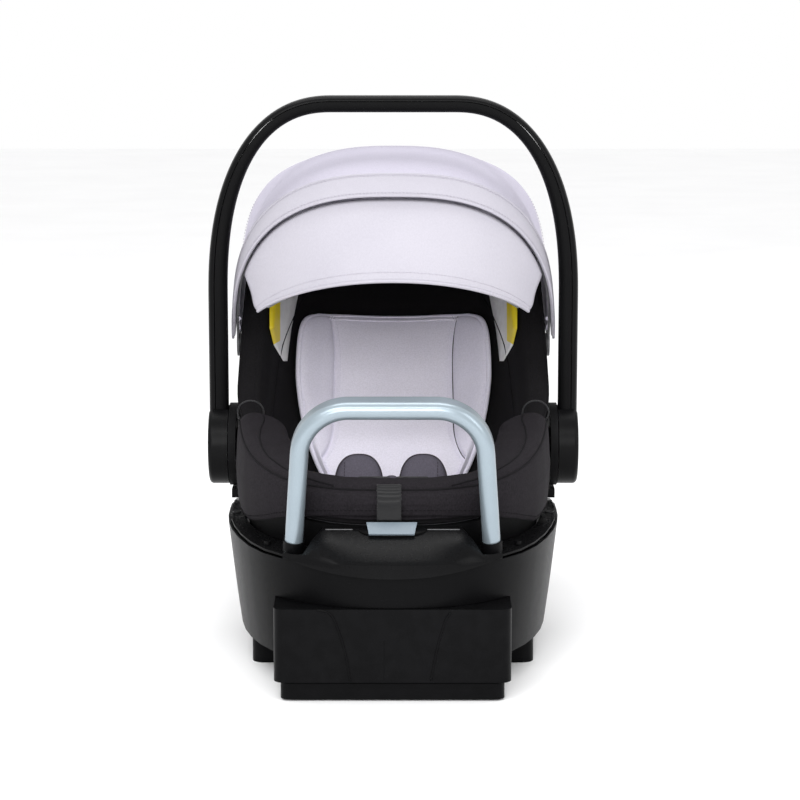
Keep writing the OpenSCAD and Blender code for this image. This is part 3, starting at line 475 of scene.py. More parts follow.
def plate(name, top, under, look):
    """A closed solid between two grids of the same size, joined round their edges."""
    m, n = top.shape[:2]
    over, below = np.arange(2 * m * n).reshape(2, m, n).tolist()
    faces = []
    for i in range(m - 1):
        for j in range(n - 1):
            faces.append((over[i][j], over[i + 1][j], over[i + 1][j + 1], over[i][j + 1]))
            faces.append((below[i][j], below[i][j + 1], below[i + 1][j + 1], below[i + 1][j]))
    rim = [(i, 0) for i in range(m)] + [(m - 1, j) for j in range(1, n)]
    rim += [(i, n - 1) for i in range(m - 2, -1, -1)] + [(0, j) for j in range(n - 2, 0, -1)]
    for (a, b), (c, d) in zip(rim, rim[1:] + rim[:1]):
        faces.append((over[a][b], below[a][b], below[c][d], over[c][d]))
    return add_mesh(name, np.concatenate([top.reshape(-1, 3), under.reshape(-1, 3)]), faces, look)


def along(points, closed=False):
    """Directions along a path of points."""
    p = np.asarray(points, float)
    if closed:
        t = np.roll(p, -1, 0) - np.roll(p, 1, 0)
    else:
        t = np.gradient(p, axis=0)
    return t / (np.linalg.norm(t, axis=1, keepdims=True) + 1e-12)


SPARE_UP = [0.13, 0.21, 0.97]  # leans off every axis, so that no path runs along it


def tube(name, points, radius, look, closed=False, sides=8, ups=None, flat=1.0):
    """A tube along points; with ups, its section is flattened towards them."""
    p = np.asarray(points, float)
    t = along(p, closed)
    up = np.asarray(ups, float) if ups is not None else np.tile(SPARE_UP, (len(p), 1))
    side = np.cross(t, up)
    side /= np.linalg.norm(side, axis=1, keepdims=True) + 1e-12
    up = np.cross(side, t)
    rings = []
    for i in range(len(p)):
        ring = []
        for k in range(sides):
            angle = 2 * math.pi * k / sides
            turn = side[i] * math.cos(angle) + up[i] * flat * math.sin(angle)
            ring.append(p[i] + radius * turn)
        rings.append(ring)
    return lofted(name, rings, look, closed)


def stitches(name, points, look, pitch=4.2, length=2.9, radius=0.42, sides=5):
    """A row of sewn stitches along a path: short raised threads with gaps between them."""
    p = np.asarray(points, float)
    steps = np.concatenate([[0], np.cumsum(np.linalg.norm(np.diff(p, axis=0), axis=1))])
    verts, faces = [], []
    for k in range(int(steps[-1] / pitch)):
        ends = [k * pitch + pitch * 0.1, k * pitch + pitch * 0.1 + length]
        mids = np.linspace(ends[0], ends[1], 5)
        line = np.stack([np.interp(mids, steps, p[:, c]) for c in range(3)], 1)
        t = line[-1] - line[0]
        t /= np.linalg.norm(t) + 1e-12
        side = np.cross(t, SPARE_UP)
        side /= np.linalg.norm(side) + 1e-12
        up = np.cross(side, t)
        start = len(verts)
        for i, r in enumerate((0.3, 0.9, 1.0, 0.9, 0.3)):
            for s in range(sides):
                angle = 2 * math.pi * s / sides
                turn = side * math.cos(angle) + up * math.sin(angle)
                verts.append(line[i] + radius * r * turn)
        for i in range(4):
            a = start + i * sides
            faces += [(a + s, a + (s + 1) % sides, a + sides + (s + 1) % sides, a + sides + s)
                      for s in range(sides)]
        faces += [tuple(start + s for s in range(sides)),
                  tuple(start + 4 * sides + s for s in range(sides))]
    return add_mesh(name, verts, faces, look)


def closed_curve(points, steps):
    """A smooth closed curve through points (Catmull-Rom)."""
    p = np.asarray(points, float)
    out = []
    n = len(p)
    for i in range(n):
        a, b, c, d = p[i - 1], p[i], p[(i + 1) % n], p[(i + 2) % n]
        for k in range(steps):
            t = k / steps
            out.append(0.5 * (2 * b + (c - a) * t + (2 * a - 5 * b + 4 * c - d) * t * t
                              + (3 * b - a - 3 * c + d) * t ** 3))
    return np.array(out)


def subdivided(thing):
    """Applies one subdivision, so that the mesh itself is smooth."""
    modifier = thing.modifiers.new("smooth", "SUBSURF")
    modifier.levels = modifier.render_levels = 1
    bpy.context.view_layer.update()
    evaluated = thing.evaluated_get(bpy.context.evaluated_depsgraph_get())
    mesh = bpy.data.meshes.new_from_object(evaluated)
    thing.modifiers.clear()
    old = thing.data
    thing.data = mesh
    bpy.data.meshes.remove(old)


# ---------- seat form, as in the CAD source ----------

HUB_Z = 225
HALF_W, HEAD, FOOT, DEPTH = 188, 345, 272, 175
TAPER = 0.2
PLAN_N, SHELL_Q, INSIDE_Q = 3, 3.4, 3.4
ROCKER = 0.0011
LAYER_GAP, COVER_T = 2.3, 10
RIM_PAD = COVER_T + 9.5 + 3 + 4 + 3 * LAYER_GAP
FLANGE_DROP = 9


def ease(low, high, value):
    t = np.clip((np.asarray(value, float) - low) / (high - low), 0, 1)
    return t * t * (3 - 2 * t)


def squircle(degrees, n):
    a = np.radians(degrees)
    return 1 / (np.abs(np.cos(a)) ** n + np.abs(np.sin(a)) ** n) ** (1 / n)


def seat_taper(y):
    back = 1 - TAPER * (np.maximum(y, 0) / HEAD) ** 1.3
    return np.where(np.asarray(y) > 0, back, 1 - 0.053 * ease(0, 70, -np.asarray(y, float)))


def seat_xy(degrees, rho, d):
    a = np.radians(degrees)
    k = rho * squircle(degrees, PLAN_N)
    reach = np.where(np.sin(a) > 0, HEAD, FOOT) - d
    y = k * reach * np.sin(a)
    return k * (HALF_W * seat_taper(y) - d) * np.cos(a), y


def seat_rho(x, y, d):
    w = HALF_W * seat_taper(y) - d
    reach = np.where(np.asarray(y) > 0, HEAD, FOOT) - d
    return ((np.abs(x) / w) ** PLAN_N + (np.abs(y) / reach) ** PLAN_N) ** (1 / PLAN_N)


def seat_rim(y):
    y = np.asarray(y, float)
    return (HUB_Z - 36 + 0.34 * (np.minimum(y, 0) + FOOT) + 0.17 * np.maximum(y, 0)
            + 140 * ease(-30, 120, y) - 0.0125 * np.maximum(y - 260, 0) ** 2)


def bowl(rho, q):
    return np.maximum(0, 1 - np.minimum(rho, 1) ** q) ** (1 / q)


def seat_floor(y):
    a, b = 0.85 * (y + 40), 0.45 * (-40 - y)
    return HUB_Z - 142 + (a + b) / 2 + np.sqrt(((a - b) / 2) ** 2 + 400)


def layer_z(rho, y, depth, drop):
    top = seat_rim(y) - drop
    return top - (top - seat_floor(y) + 1.3 * depth) * bowl(rho, INSIDE_Q)


def seat_z(x, y):
    return layer_z(seat_rho(x, y, RIM_PAD), y, 0, 0)


def seat_point(x, y, lift):
    """A point lifted off the seat's surface along its normal."""
    x, y = np.asarray(x, float), np.asarray(y, float)
    z = seat_z(x, y)
    gx = (seat_z(x + 1, y) - seat_z(x - 1, y)) / 2
    gy = (seat_z(x, y + 1) - seat_z(x, y - 1)) / 2
    k = np.minimum(1, 2.2 / np.maximum(np.hypot(gx, gy), 1e-6))
    normal = at(-gx * k, -gy * k, np.ones_like(z))
    normal /= np.linalg.norm(normal, axis=-1, keepdims=True)
    return at(x, y, z) + normal * np.asarray(lift)[..., None]


# ---------- seat cover ----------

COVER_STEPS = 160
COVER_INSIDE = [0.06, 0.16, 0.26, 0.36, 0.46, 0.56, 0.65, 0.73, 0.80, 0.86, 0.91, 0.945, 0.97, 0.985]
# the rolled rim: (distance inside the shell's edge, drop below the rim)
COVER_ROLL = [(1.2, 6), (0.1, 4.2), (0.3, 1.8), (2.6, -0.6), (8, -2.2), (15, -2.4), (22, -1.6),
              (28, 0.3)]
WING_RHO = 0.972  # the line where the wings are piped


def cover_ring(rho, d, z):
    angles = np.arange(COVER_STEPS) * 360 / COVER_STEPS
    x, y = seat_xy(angles, rho, d)
    return at(x, y, z(y))


def seat_cover():
    """Padded cover: the inside of the seat, a soft rolled rim and the edge under it."""
    rings = [cover_ring(r, RIM_PAD - COVER_T, lambda y, r=r: layer_z(r, y, COVER_T, 6))
             for r in COVER_INSIDE]
    rings += [cover_ring(1, d, lambda y: seat_rim(y) - 6) for d in (22, 14, 6)]
    rings += [cover_ring(1, d, lambda y, h=h: seat_rim(y) - h) for d, h in COVER_ROLL]
    rings += [cover_ring(r, RIM_PAD, lambda y, r=r: layer_z(r, y, 0, 0))
              for r in [0.993] + COVER_INSIDE[::-1]]
    piece = lofted("seat_cover_cloth", rings, "black_cloth")
    padding(piece, "carrier", "seat_cover")

    angles = np.linspace(0, 360, 241)[:-1]
    x, y = seat_xy(angles, 1, 1.0)
    line = at(x, y, seat_rim(y) - 1.0)
    edge = tube("seat_cover_piping", line, 1.5, "black_cloth", True)
    x, y = seat_xy(angles, 1, 20)
    line = at(x, y, seat_rim(y) + 2.2)
    seam = stitches("seat_cover_stitches", line, "thread_dark")
    trims = [edge, seam]
    for name, side in SIDES:
        lean = np.linspace(0, 62, 40)
        x, y = seat_xy(lean, WING_RHO, RIM_PAD)
        line = at(side * x, y, layer_z(WING_RHO, y, 0, 0) + 0.6)
        trims.append(tube(f"wing_piping_{name}", line, 1.3, "thread_dark"))
    dress(trims, "carrier")


# ---------- front bolster ----------

BOLSTER_FROM, BOLSTER_TO, BOLSTER_STEPS = 193, 347, 120
SECTION_STEPS = 5
SEAM_AT, HEM_AT = 23, 42  # places on the section: outer side of the roll, and lower hem
SEWN = slice(4, -4)  # piping and hem stop short of the bolster's ends
ROUND_END = 6  # rings over which each end closes
LOOP_X, LOOP_Y, LOOP_Z = 169, -62.0, 274  # middle of the elastic loop on the right


def bolster_section(degrees):
    y = float(seat_xy(degrees, 1, 0)[1])
    top = HUB_Z + 5 + 0.24 * (y + 290)
    low = HUB_Z - 30 - 27 * float(ease(-290, -170, y))
    up = 14 * float(ease(-120, -62, y))
    reach = 30 + 22 * float(ease(-262, -200, y) * (1 - ease(-120, -70, y)))

    def roll(u, z, above):
        px, py = seat_xy(degrees, 1, -u)
        return [float(px), float(py), max(z, float(seat_rim(py)) + above)]

    def skirt(u, z):
        px, py = seat_xy(degrees, 1, -u)
        shell_rim = float(seat_rim(py)) - FLANGE_DROP
        s = max(0, shell_rim - z) / (shell_rim - HUB_Z + DEPTH - ROCKER * float(py) ** 2)
        c = 1 if z >= shell_rim else (1 - s ** SHELL_Q) ** (1 / SHELL_Q)
        return [float(px) * c, float(py) * c, z]

    return closed_curve([
        roll(4 - reach, 0, 1.8), roll(1 - reach, top - 16, 5 + up / 2),
        roll(7 - reach, top - 4, 9 + up), roll(-12, top, 12 + up),
        roll(0, top - 4, 10 + up), roll(6.5, top - 14, 4),
        skirt(9, (top + low) / 2 + 4), skirt(9.5, (top + low) / 2 - 5), skirt(8.5, low + 12),
        skirt(6, low + 1), skirt(3, low + 4), skirt(2.5, (low + float(seat_rim(y))) / 2),
        roll(1.5, 0, 1.8)], SECTION_STEPS)


def across_rings(rings, low, high, j_low, j_high, count, lift):
    """A path that crosses the rings of a loft, lifted off its surface."""
    centre = rings.mean(axis=1)
    path = []
    for k in np.linspace(0, 1, count):
        i = low + (high - low) * k
        j = j_low + (j_high - j_low) * k
        a, b = int(i), int(j)
        p = rings[a, b] * (1 - j + b) + rings[a, b + 1] * (j - b)
        q = rings[a + 1, b] * (1 - j + b) + rings[a + 1, b + 1] * (j - b)
        point = p * (1 - i + a) + q * (i - a)
        out = point - centre[a]
        path.append(point + out / np.linalg.norm(out) * lift)
    return path


def front_bolster():
    angles = np.linspace(BOLSTER_FROM, BOLSTER_TO, BOLSTER_STEPS)
    rings = np.array([bolster_section(a) for a in angles])
    centre = rings.mean(axis=1, keepdims=True)
    t = np.linspace(0, 1, BOLSTER_STEPS)
    ends = np.minimum(t, 1 - t) * (BOLSTER_STEPS - 1)
    close = 0.5 + 0.5 * np.sqrt(np.clip(1 - (1 - ends / ROUND_END) ** 2, 0, 1))
    k = np.where(ends < ROUND_END, close, 1.0)
    soft = 0.985 + 0.01 * np.sin(t * 61) + 0.007 * np.sin(t * 143 + 1)
    rings = centre + (rings - centre) * (k * soft)[:, None, None]
    # the sewn line pulls the cloth in
    pull = np.exp(-((np.arange(rings.shape[1]) - SEAM_AT) / 0.8) ** 2)
    rings = rings - (rings - centre) * (0.045 * pull)[None, :, None]
    piece = lofted("front_bolster_pad", rings, "charcoal")
    subdivided(piece)
    padding(piece, "carrier", "front_bolster")

    outward = rings[:, SEAM_AT] - centre[:, 0]
    outward[:, 2] = 0
    outward /= np.linalg.norm(outward, axis=1, keepdims=True)
    line = rings[SEWN, SEAM_AT] + outward[SEWN] * 0.3
    trims = [tube("bolster_piping", line, 1.1, "thread_dark")]
    last = BOLSTER_STEPS - 1
    for name, side in (("left", 0), ("right", 1)):
        low, high = abs(side * last - 5), abs(side * last - 44)
        path = across_rings(rings, low, high, 12.5, SEAM_AT - 1, 60, 0.1)
        trims.append(tube(f"bolster_seam_{name}", path, 1.0, "thread_dark"))
    line = rings[SEWN, HEM_AT] + outward[SEWN] * 0.4
    trims.append(stitches("bolster_hem", line, "thread_dark", 4.6, 3.0, 0.5))
    a = np.linspace(-0.25, 1.25, 33) * math.pi
    for name, side in SIDES:
        x = side * (LOOP_X + 15.5 * np.cos(a))
        line = at(x, LOOP_Y, LOOP_Z + 14 * np.sin(a))
        trims.append(tube(f"elastic_loop_{name}", line, 0.9, "elastic"))
    dress(trims, "carrier")


# ---------- head and body insert ----------

INSERT_W, INSERT_Y, INSERT_L = 127, 124, 115
INSERT_LIFT = 6.5
INSERT_N = (91, 71)  # points across and along
PANEL_SHARE = 58 / 90  # share of the points across that the middle panel takes


def panel_edge(v):
    """Share of the half width at which the middle panel meets the wings."""
    far = np.abs(v)
    return 0.62 + np.where(v > 0, 0.26 * far ** 4, 0.33 * np.minimum(1, far / 0.6) ** 2.5)


def insert_place(u, v):
    head = 1 - 0.2 * np.abs(v) ** 3
    foot = 1 - 0.5 * np.abs(v) ** 1.7
    x = u * INSERT_W * np.where(v > 0, head, foot)
    y = INSERT_Y + v * INSERT_L * (1 - np.where(v > 0, 0.22, 0.10) * np.abs(u) ** 3.8)
    return x, y


def insert_rise(u, v):
    """Thickness of the pad: a crowned middle panel and two crowned wings."""
    ends = np.clip(1 - np.abs(v) ** 6, 0, 1) ** 0.5
    edge = panel_edge(v)
    s = np.abs(u) / edge
    middle = 4 + 13 * np.clip(1 - np.minimum(s, 1) ** 4, 0, 1) ** 0.5 * ends
    w = np.clip((np.abs(u) - edge) / (1 - edge) * 2 - 1, -1, 1)
    wing = 4 + 9 * np.clip(1 - np.abs(w) ** 2.6, 0, 1) ** 0.5 * ends
    return np.where(s < 1, middle, wing)


def insert_surface(u, v, above=0.0):
    x, y = insert_place(u, v)
    return seat_point(x, y, INSERT_LIFT + insert_rise(u, v) + above)


def head_insert():
    m, n = INSERT_N
    s, v = np.meshgrid(np.linspace(-1, 1, m), np.linspace(-1, 1, n), indexing="ij")
    edge = panel_edge(v)
    out = (np.abs(s) - PANEL_SHARE) / (1 - PANEL_SHARE)
    in_panel = np.abs(s) <= PANEL_SHARE + 1e-9
    u = np.sign(s) * np.where(in_panel, np.abs(s) / PANEL_SHARE * edge, edge + out * (1 - edge))
    x, y = insert_place(u, v)
    top = insert_surface(u, v)
    # soft dents where the cloth gathers
    dents = np.sin(u * 9 + v * 4) * np.cos(v * 11 - u * 3)
    top[..., 2] -= 0.8 * dents * (1 - u ** 2) * (1 - v ** 4)
    under = seat_point(x, y, np.full_like(x, INSERT_LIFT - 2))
    piece = plate("head_insert_pad", top, under, "insert")
    mesh = piece.data
    mesh.materials.append(MATERIALS["wing"])
    inside = int(round((m - 1) * (1 - PANEL_SHARE) / 2))
    pair = 2 * (n - 1)
    for polygon in mesh.polygons:
        column = polygon.index // pair
        if column < m - 1:
            polygon.material_index = 0 if inside <= column < m - 1 - inside else 1
    padding(piece, "carrier", "head_insert")

    trims = []
    v = np.linspace(-0.97, 0.985, 110)
    for name, side in SIDES:
        line = insert_surface(side * panel_edge(v), v, 0.3)
        # the right seam is drawn dark as painted shade in the crease between middle panel and wing;
        # the left seam keeps the wing's colour
        look = "piping_dark_and_seam_shade" if side > 0 else "wing"
        trims.append(tube(f"insert_piping_{name}", line, 1.3, look))
        inner = insert_surface(side * (panel_edge(v) - 0.05), v, 0.2)
        trims.append(stitches(f"insert_stitches_{name}", inner, "wing"))
    there, back = np.linspace(-1, 1, 60), np.linspace(1, -1, 60)
    rise, fall = np.linspace(-1, 1, 50), np.linspace(1, -1, 50)
    rim_u = np.concatenate([there, np.ones(50), back, -np.ones(50)])
    rim_v = np.concatenate([-np.ones(60), rise, np.ones(60), fall])
    x, y = insert_place(rim_u, rim_v)
    rim = seat_point(x, y, np.full_like(x, INSERT_LIFT + 2.0))
    rim = (np.roll(rim, 1, 0) + rim * 2 + np.roll(rim, -1, 0)) / 4
    trims.append(tube("insert_binding", rim, 3.4, "wing", True, 10))
    for name, height in (("upper", 0.985), ("lower", 0.935)):
        head_u = np.linspace(-0.86, 0.86, 90)
        strip = insert_surface(head_u, np.full_like(head_u, height), 0.6)
        trims.append(tube(f"insert_strip_{name}", strip, 0.9, "insert"))
    for name, side in SIDES:
        for k in range(3):
            u = side * (0.86 - 0.035 * k)
            tack = insert_surface(np.full(12, u), np.linspace(0.92, 1.0, 12), 0.8)
            trims.append(stitches(f"insert_tack_{name}_{k}", tack, "thread_pale", 2.6, 2.0))
    dress(trims, "carrier")


# ---------- harness pads, straps ----------

PAD_TILT = math.radians(58)
PAD_Y, PAD_Z = -58, HUB_Z - 52
SLOT_X, SLOT_Y = 46, 150
PAD_X = {"left": -41, "right": 36}
PAD_HALF_W, PAD_HALF_L, PAD_POWER = 28.5, 48, 2.6


def on_pads(p, x=0.0, y=PAD_Y, z=PAD_Z):
    p = np.asarray(p, float)
    c, s = math.cos(PAD_TILT), math.sin(PAD_TILT)
    px, py, pz = p[..., 0], p[..., 1], p[..., 2]
    return at(px + x, y + py * c - pz * s, z + py * s + pz * c)


def pillow(half_w, half_l, low, high, around=56, up=15):
    """Rings of a crowned pad with a flatter underside, from its bottom to its top."""
    rings = []
    for k in range(up + 1):
        phi = -90 + 180 * k / up
        size = max(0.02, math.cos(math.radians(phi))) ** 0.62
        rise = math.sin(math.radians(phi))
        z = (low + high) / 2 + (high - low) / 2 * rise * (0.75 if rise < 0 else 1.0)
        ring = []
        for i in range(around):
            a = 360 * i / around
            r = float(squircle(a, PAD_POWER)) * size
            c, s = math.cos(math.radians(a)), math.sin(math.radians(a))
            ring.append([half_w * r * c, half_l * r * s, z])
        rings.append(ring)
    return np.array(rings)


def harness_pads():
    trims = []
    for name, side in SIDES:
        place = PAD_X[name]
        rings = on_pads(pillow(PAD_HALF_W, PAD_HALF_L, -2, 20), place)
        pad = lofted(f"harness_pad_{name}", rings, "mauve")
        subdivided(pad)
        padding(pad, "carrier", "harness_pads")
        a = np.linspace(0, 360, 73)[:-1]
        r = squircle(a, PAD_POWER) * 1.005
        edge = at(PAD_HALF_W * r * cosd(a),
                         PAD_HALF_L * r * sind(a), 9.0)
        edge = on_pads(edge, place)
        trims.append(tube(f"harness_pad_piping_{name}", edge, 1.3, "piping_dark_and_seam_shade", True))
        line = at(np.full(40, side * 17.0), np.linspace(-38, 38, 40),
                         19.1 - 3.4 * np.linspace(-1, 1, 40) ** 4)
        trims.append(stitches(f"harness_pad_stitches_{name}", on_pads(line, place), "piping_dark_and_seam_shade"))
    rings = on_pads(pillow(13, 30, -1, 13), -2, PAD_Y - 3, PAD_Z - 6)
    pad = lofted("crotch_pad_cloth", rings, "mauve")
    subdivided(pad)
    padding(pad, "carrier", "crotch_pad")
    dress(trims, "carrier")


STRAP_T = 1.8
SHOULDER_HALF, HIP_HALF, PULL_HALF = 19, 17, 13.5  # half widths of the webbing
# a strap's cross-section: (share of the half width, share of the thickness)
STRAP_SECTION = [(-1, 0), (-0.985, 0.42), (-0.93, 0.5), (-0.88, 0.36), (-0.5, 0.4), (0, 0.42),
                 (0.5, 0.4), (0.88, 0.36), (0.93, 0.5), (0.985, 0.42), (1, 0), (0.985, -0.42),
                 (0.93, -0.5), (0.5, -0.4), (0, -0.4), (-0.5, -0.4), (-0.93, -0.5), (-0.985, -0.42)]


def ribbon(name, middle, across, half_w, look, body, node):
    """Flat webbing along points, with thick bound edges and a ribbed middle."""
    middle, across = np.asarray(middle, float), np.asarray(across, float)
    across = across / np.linalg.norm(across, axis=1, keepdims=True)
    normal = np.cross(along(middle), across)
    normal /= np.linalg.norm(normal, axis=1, keepdims=True) + 1e-12
    rings = [[m + a * half_w * s + n * STRAP_T * h for s, h in STRAP_SECTION]
             for m, a, n in zip(middle, across, normal)]
    piece = lofted(name, rings, look)
    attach(piece, body)
    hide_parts(node)


def straps():
    for name, side in SIDES:
        y = np.linspace(SLOT_Y - 2, 9, 50)
        x = np.full_like(y, side * SLOT_X)
        middle = at(x, y, (seat_z(x - 18, y) + seat_z(x + 18, y)) / 2 + 2.1)
        slope = seat_z(x + 18, y) - seat_z(x - 18, y)
        across = at(36.0, 0.0, slope)
        ribbon(f"shoulder_strap_{name}", middle, across, SHOULDER_HALF, "webbing", "carrier",
               "shoulder_straps")
        t = np.linspace(0, 0.78, 40)
        ends = []
        for s in (-1, 1):
            px = 130 - 88 * t - 0.8 * s * 17.1
            py = -16 - 60 * t + 0.6 * s * 17.1
            ends.append(at(side * px, py, seat_z(px, py) + 5 + 8 * t))
        ribbon(f"hip_strap_{name}", (ends[0] + ends[1]) / 2, (ends[1] - ends[0]) * side, HIP_HALF,
               "webbing", "carrier", "hip_straps")
    low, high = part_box("crotch_strap")
    z = np.linspace(low.z / MM, high.z / MM, 20)
    middle = at(0.0, -118.0, z)
    ribbon("crotch_strap_web", middle, np.tile([1.0, 0, 0], (20, 1)), HIP_HALF, "webbing",
           "carrier", "crotch_strap")
    z = np.linspace(191, 230, 30)
    y = -285.6 + 3.5 * np.linspace(0, 1, 30) ** 3 * 2
    middle = at(-4.0, y, z)
    ribbon("adjuster_strap_web", middle, np.tile([1.0, 0, 0], (30, 1)), PULL_HALF, "webbing_black",
           "carrier", "adjuster_strap")
    x = np.linspace(-112, 112, 40)
    middle = at(x, -1.0, 17.0)
    ribbon("anchor_strap_web", middle, np.tile([0, 1.0, 0], (40, 1)), SHOULDER_HALF,
           "webbing_black", "base", "anchor_strap")


# ---------- canopy ----------

CANOPY_Y, CANOPY_Z, CANOPY_R, CANOPY_W = 60, HUB_Z + 115, 244, 193
BOW_N, VISOR_N = 2.7, 2.05
VISOR_R, VISOR_W = CANOPY_R - 3, CANOPY_W - 5
BOW_ANGLE, VISOR_ANGLE, REAR_ANGLE, REAR_FROM = 35, 65, 82, 15
REAR_GROWTH = (HEAD + 13 - CANOPY_Y) / math.sin(math.radians(REAR_ANGLE)) - CANOPY_R + 1
BAND_W = 40
SHEET_T = 1.6
VISOR_REACH, VISOR_ROUND = 60.5, 2.5  # degrees along the bow: half range, and loss at the corners
PIVOT = np.array([0, CANOPY_Y, CANOPY_Z])
BAND_SECTION = [(-20, 1.2), (-19.6, 3.0), (-18.2, 4.0), (-15, 4.7), (-8, 5.3), (0, 5.6), (8, 5.3),
                (15, 4.7), (18.2, 4.0), (19.6, 3.0), (20, 1.2), (16, 0.5), (8, 0.4), (0, 0.4),
                (-8, 0.4), (-16, 0.5)]


def bow_point(b, lean, w, r, n):
    k = squircle(b, n)
    d = r * sind(b) * k
    return at(w * cosd(b) * k, CANOPY_Y - d * sind(lean),
                     CANOPY_Z + d * cosd(lean))


def rear_r(lean):
    part = np.maximum(0, -lean - REAR_FROM) / (REAR_ANGLE - REAR_FROM)
    return CANOPY_R - 1 + REAR_GROWTH * part ** 1.25


def rear_n(lean):
    return BOW_N + 2.3 * ease(0, 50, -lean)


def rear_point(t, b, inset):
    lean = -REAR_ANGLE + (BOW_ANGLE + REAR_ANGLE) * t
    d = rear_r(lean) * sind(b) * squircle(b, rear_n(lean))
    front = BOW_ANGLE - np.degrees(np.arcsin(np.minimum(0.98, (BAND_W / 2 - 3) / d)))
    a = -REAR_ANGLE + (front + REAR_ANGLE) * t
    return bow_point(b, a, CANOPY_W - inset, rear_r(a) - inset, rear_n(a))


def visor_point(t, b, inset):
    n = BOW_N + (VISOR_N - BOW_N) * t
    d = VISOR_R * sind(b) * squircle(b, n)
    back = BOW_ANGLE + np.degrees(np.arcsin(np.minimum(0.98, (BAND_W / 2 - 3) / d)))
    a = back + (VISOR_ANGLE - back) * t
    return bow_point(b, a, VISOR_W - inset, VISOR_R - inset, n)


def visor_b(t, k):
    """Place on the bow for k from -1 to 1 across the visor, whose corners are rounded."""
    return 90 + k * (VISOR_REACH - VISOR_ROUND * np.asarray(t, float) ** 6 * np.abs(k))


def canopy_sheet(name, node, outer, look):
    """A stretched sheet of the canopy, thickened inwards from its outer face."""
    sheet = plate(name, outer, outer - grid_toward(outer) * SHEET_T, look)
    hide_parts(node)
    return sheet


def canopy():
    t, b = np.meshgrid(np.linspace(0, 1, 46), np.linspace(8, 172, 111), indexing="ij")
    # the cloth sinks a little between the bow and its back edge, and gathers low at the sides
    low = ease(0.55, 1.0, np.abs(b - 90) / 82)
    sink = 0.6 + 1.6 * np.sin(math.pi * t) + low * 1.6 * np.sin(t * 17) * np.sin(math.pi * t)
    rear = canopy_sheet("canopy_rear_cloth", "canopy_rear", rear_point(t, b, sink), "lilac")

    t, k = np.meshgrid(np.linspace(0, 1, 26), np.linspace(-1, 1, 101), indexing="ij")
    b = visor_b(t, k)
    outer = visor_point(t, b, 0.4 - 3.0 * (1 - t) ** 4 + 2.2 * np.sin(math.pi * t) ** 2)
    visor = canopy_sheet("canopy_visor_cloth", "canopy_visor", outer, "visor")

    b = visor_b(1.0, np.linspace(-1, 1, 121))
    hem = tube("visor_hem", visor_point(np.full_like(b, 1.0), b, 0.9), 2.0, "visor", sides=10)
    line = visor_point(np.full_like(b, 0.90), b, 0.3)
    hem_thread = stitches("visor_hem_stitches", line, "thread_pale")

    b = np.linspace(6, 174, 141)
    bow = bow_point(b, BOW_ANGLE, HALF_W + 3.5, CANOPY_R + 3, BOW_N)
    t = along(bow)
    lean = math.radians(BOW_ANGLE)
    side = np.array([0, -math.cos(lean), -math.sin(lean)])
    out = np.cross(t, side)
    out /= np.linalg.norm(out, axis=1, keepdims=True)
    rings = [[p + side * s + o * h for s, h in BAND_SECTION] for p, o in zip(bow, out)]
    band = lofted("canopy_band_cloth", rings, "pale")
    subdivided(band)
    padding(band, "canopy", "canopy_band")
    trims = []
    for name, s in (("front", 19.2), ("rear", -19.2)):
        edge = tube(f"band_piping_{name}", bow + side * s + out * 3.6, 1.7, "pale")
        line = bow + side * (s * 0.8) + out * 5.0
        trims += [edge, stitches(f"band_stitches_{name}", line, "thread_pale")]
    dress(trims, "canopy")

    b = np.linspace(8, 172, 141)
    line = rear_point(np.zeros_like(b) + 0.004, b, 0.8)
    back_hem = tube("canopy_rear_hem", line, 2.2, "lilac", sides=10)
    line = rear_point(np.full_like(b, 0.42), b, 1.4)
    seam = stitches("canopy_rear_stitches", line, "thread_pale")
    dress([back_hem], "carrier")

    for thing in (rear, seam):
        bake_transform(thing)
    for thing in (visor, hem, hem_thread):
        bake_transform(thing)


def grid_toward(grid):
    """Unit normals of a canopy sheet, pointing away from its pivot."""
    normal = grid_normals(grid)
    away = grid - PIVOT
    flip = np.sign((normal * away).sum(axis=2, keepdims=True))
    return normal * np.where(flip == 0, 1, flip)


# ---------- blank labels inside the wings ----------

# left label, from its tip up, each row from its outer to its inner edge
LABEL_ROWS = [
    [(-137.5, 106.7, 310.3), (-136.4, 109.7, 309.8), (-135.3, 113.2, 309.3),
     (-134.2, 116.6, 308.8), (-133.1, 119.6, 308.3)],
    [(-147.6, 74.4, 335.1), (-143.8, 93.2, 332.4), (-139.8, 109.5, 330.1),
     (-135.7, 124.4, 327.9), (-131.5, 137.2, 326.1)],
    [(-151.2, 48.6, 359.8), (-146.5, 85.7, 354.7), (-141, 113, 351),
     (-135.3, 136.3, 347.9), (-129.3, 155.6, 345.2)],
    [(-151.5, 56.4, 379.8), (-145.6, 94.1, 374.9), (-139.4, 127.4, 370.6),
     (-132.7, 154.2, 367.1), (-125.6, 175.5, 364.4)],
    [(-150.5, 69.8, 399.1), (-143.9, 106.5, 394.6), (-137.1, 142.3, 390.2),
     (-129.7, 170.6, 386.7), (-122, 193, 384)],
]


def side_labels():
    rows = np.array(LABEL_ROWS, float)
    t = np.linspace(0, len(rows) - 1, 33)
    low = np.minimum(t.astype(int), len(rows) - 2)
    part = (t - low)[:, None, None]
    rows = rows[low] * (1 - part) + rows[low + 1] * part
    for name, side in (("left", 1), ("right", -1)):
        grid = rows * [side, 1, 1]
        under = grid + [-0.3 * side, 0.35, -0.2]
        label = plate(f"side_label_{name}", grid, under, "label")
        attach(label, "carrier")
        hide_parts("side_labels")


# ---------- handle ----------

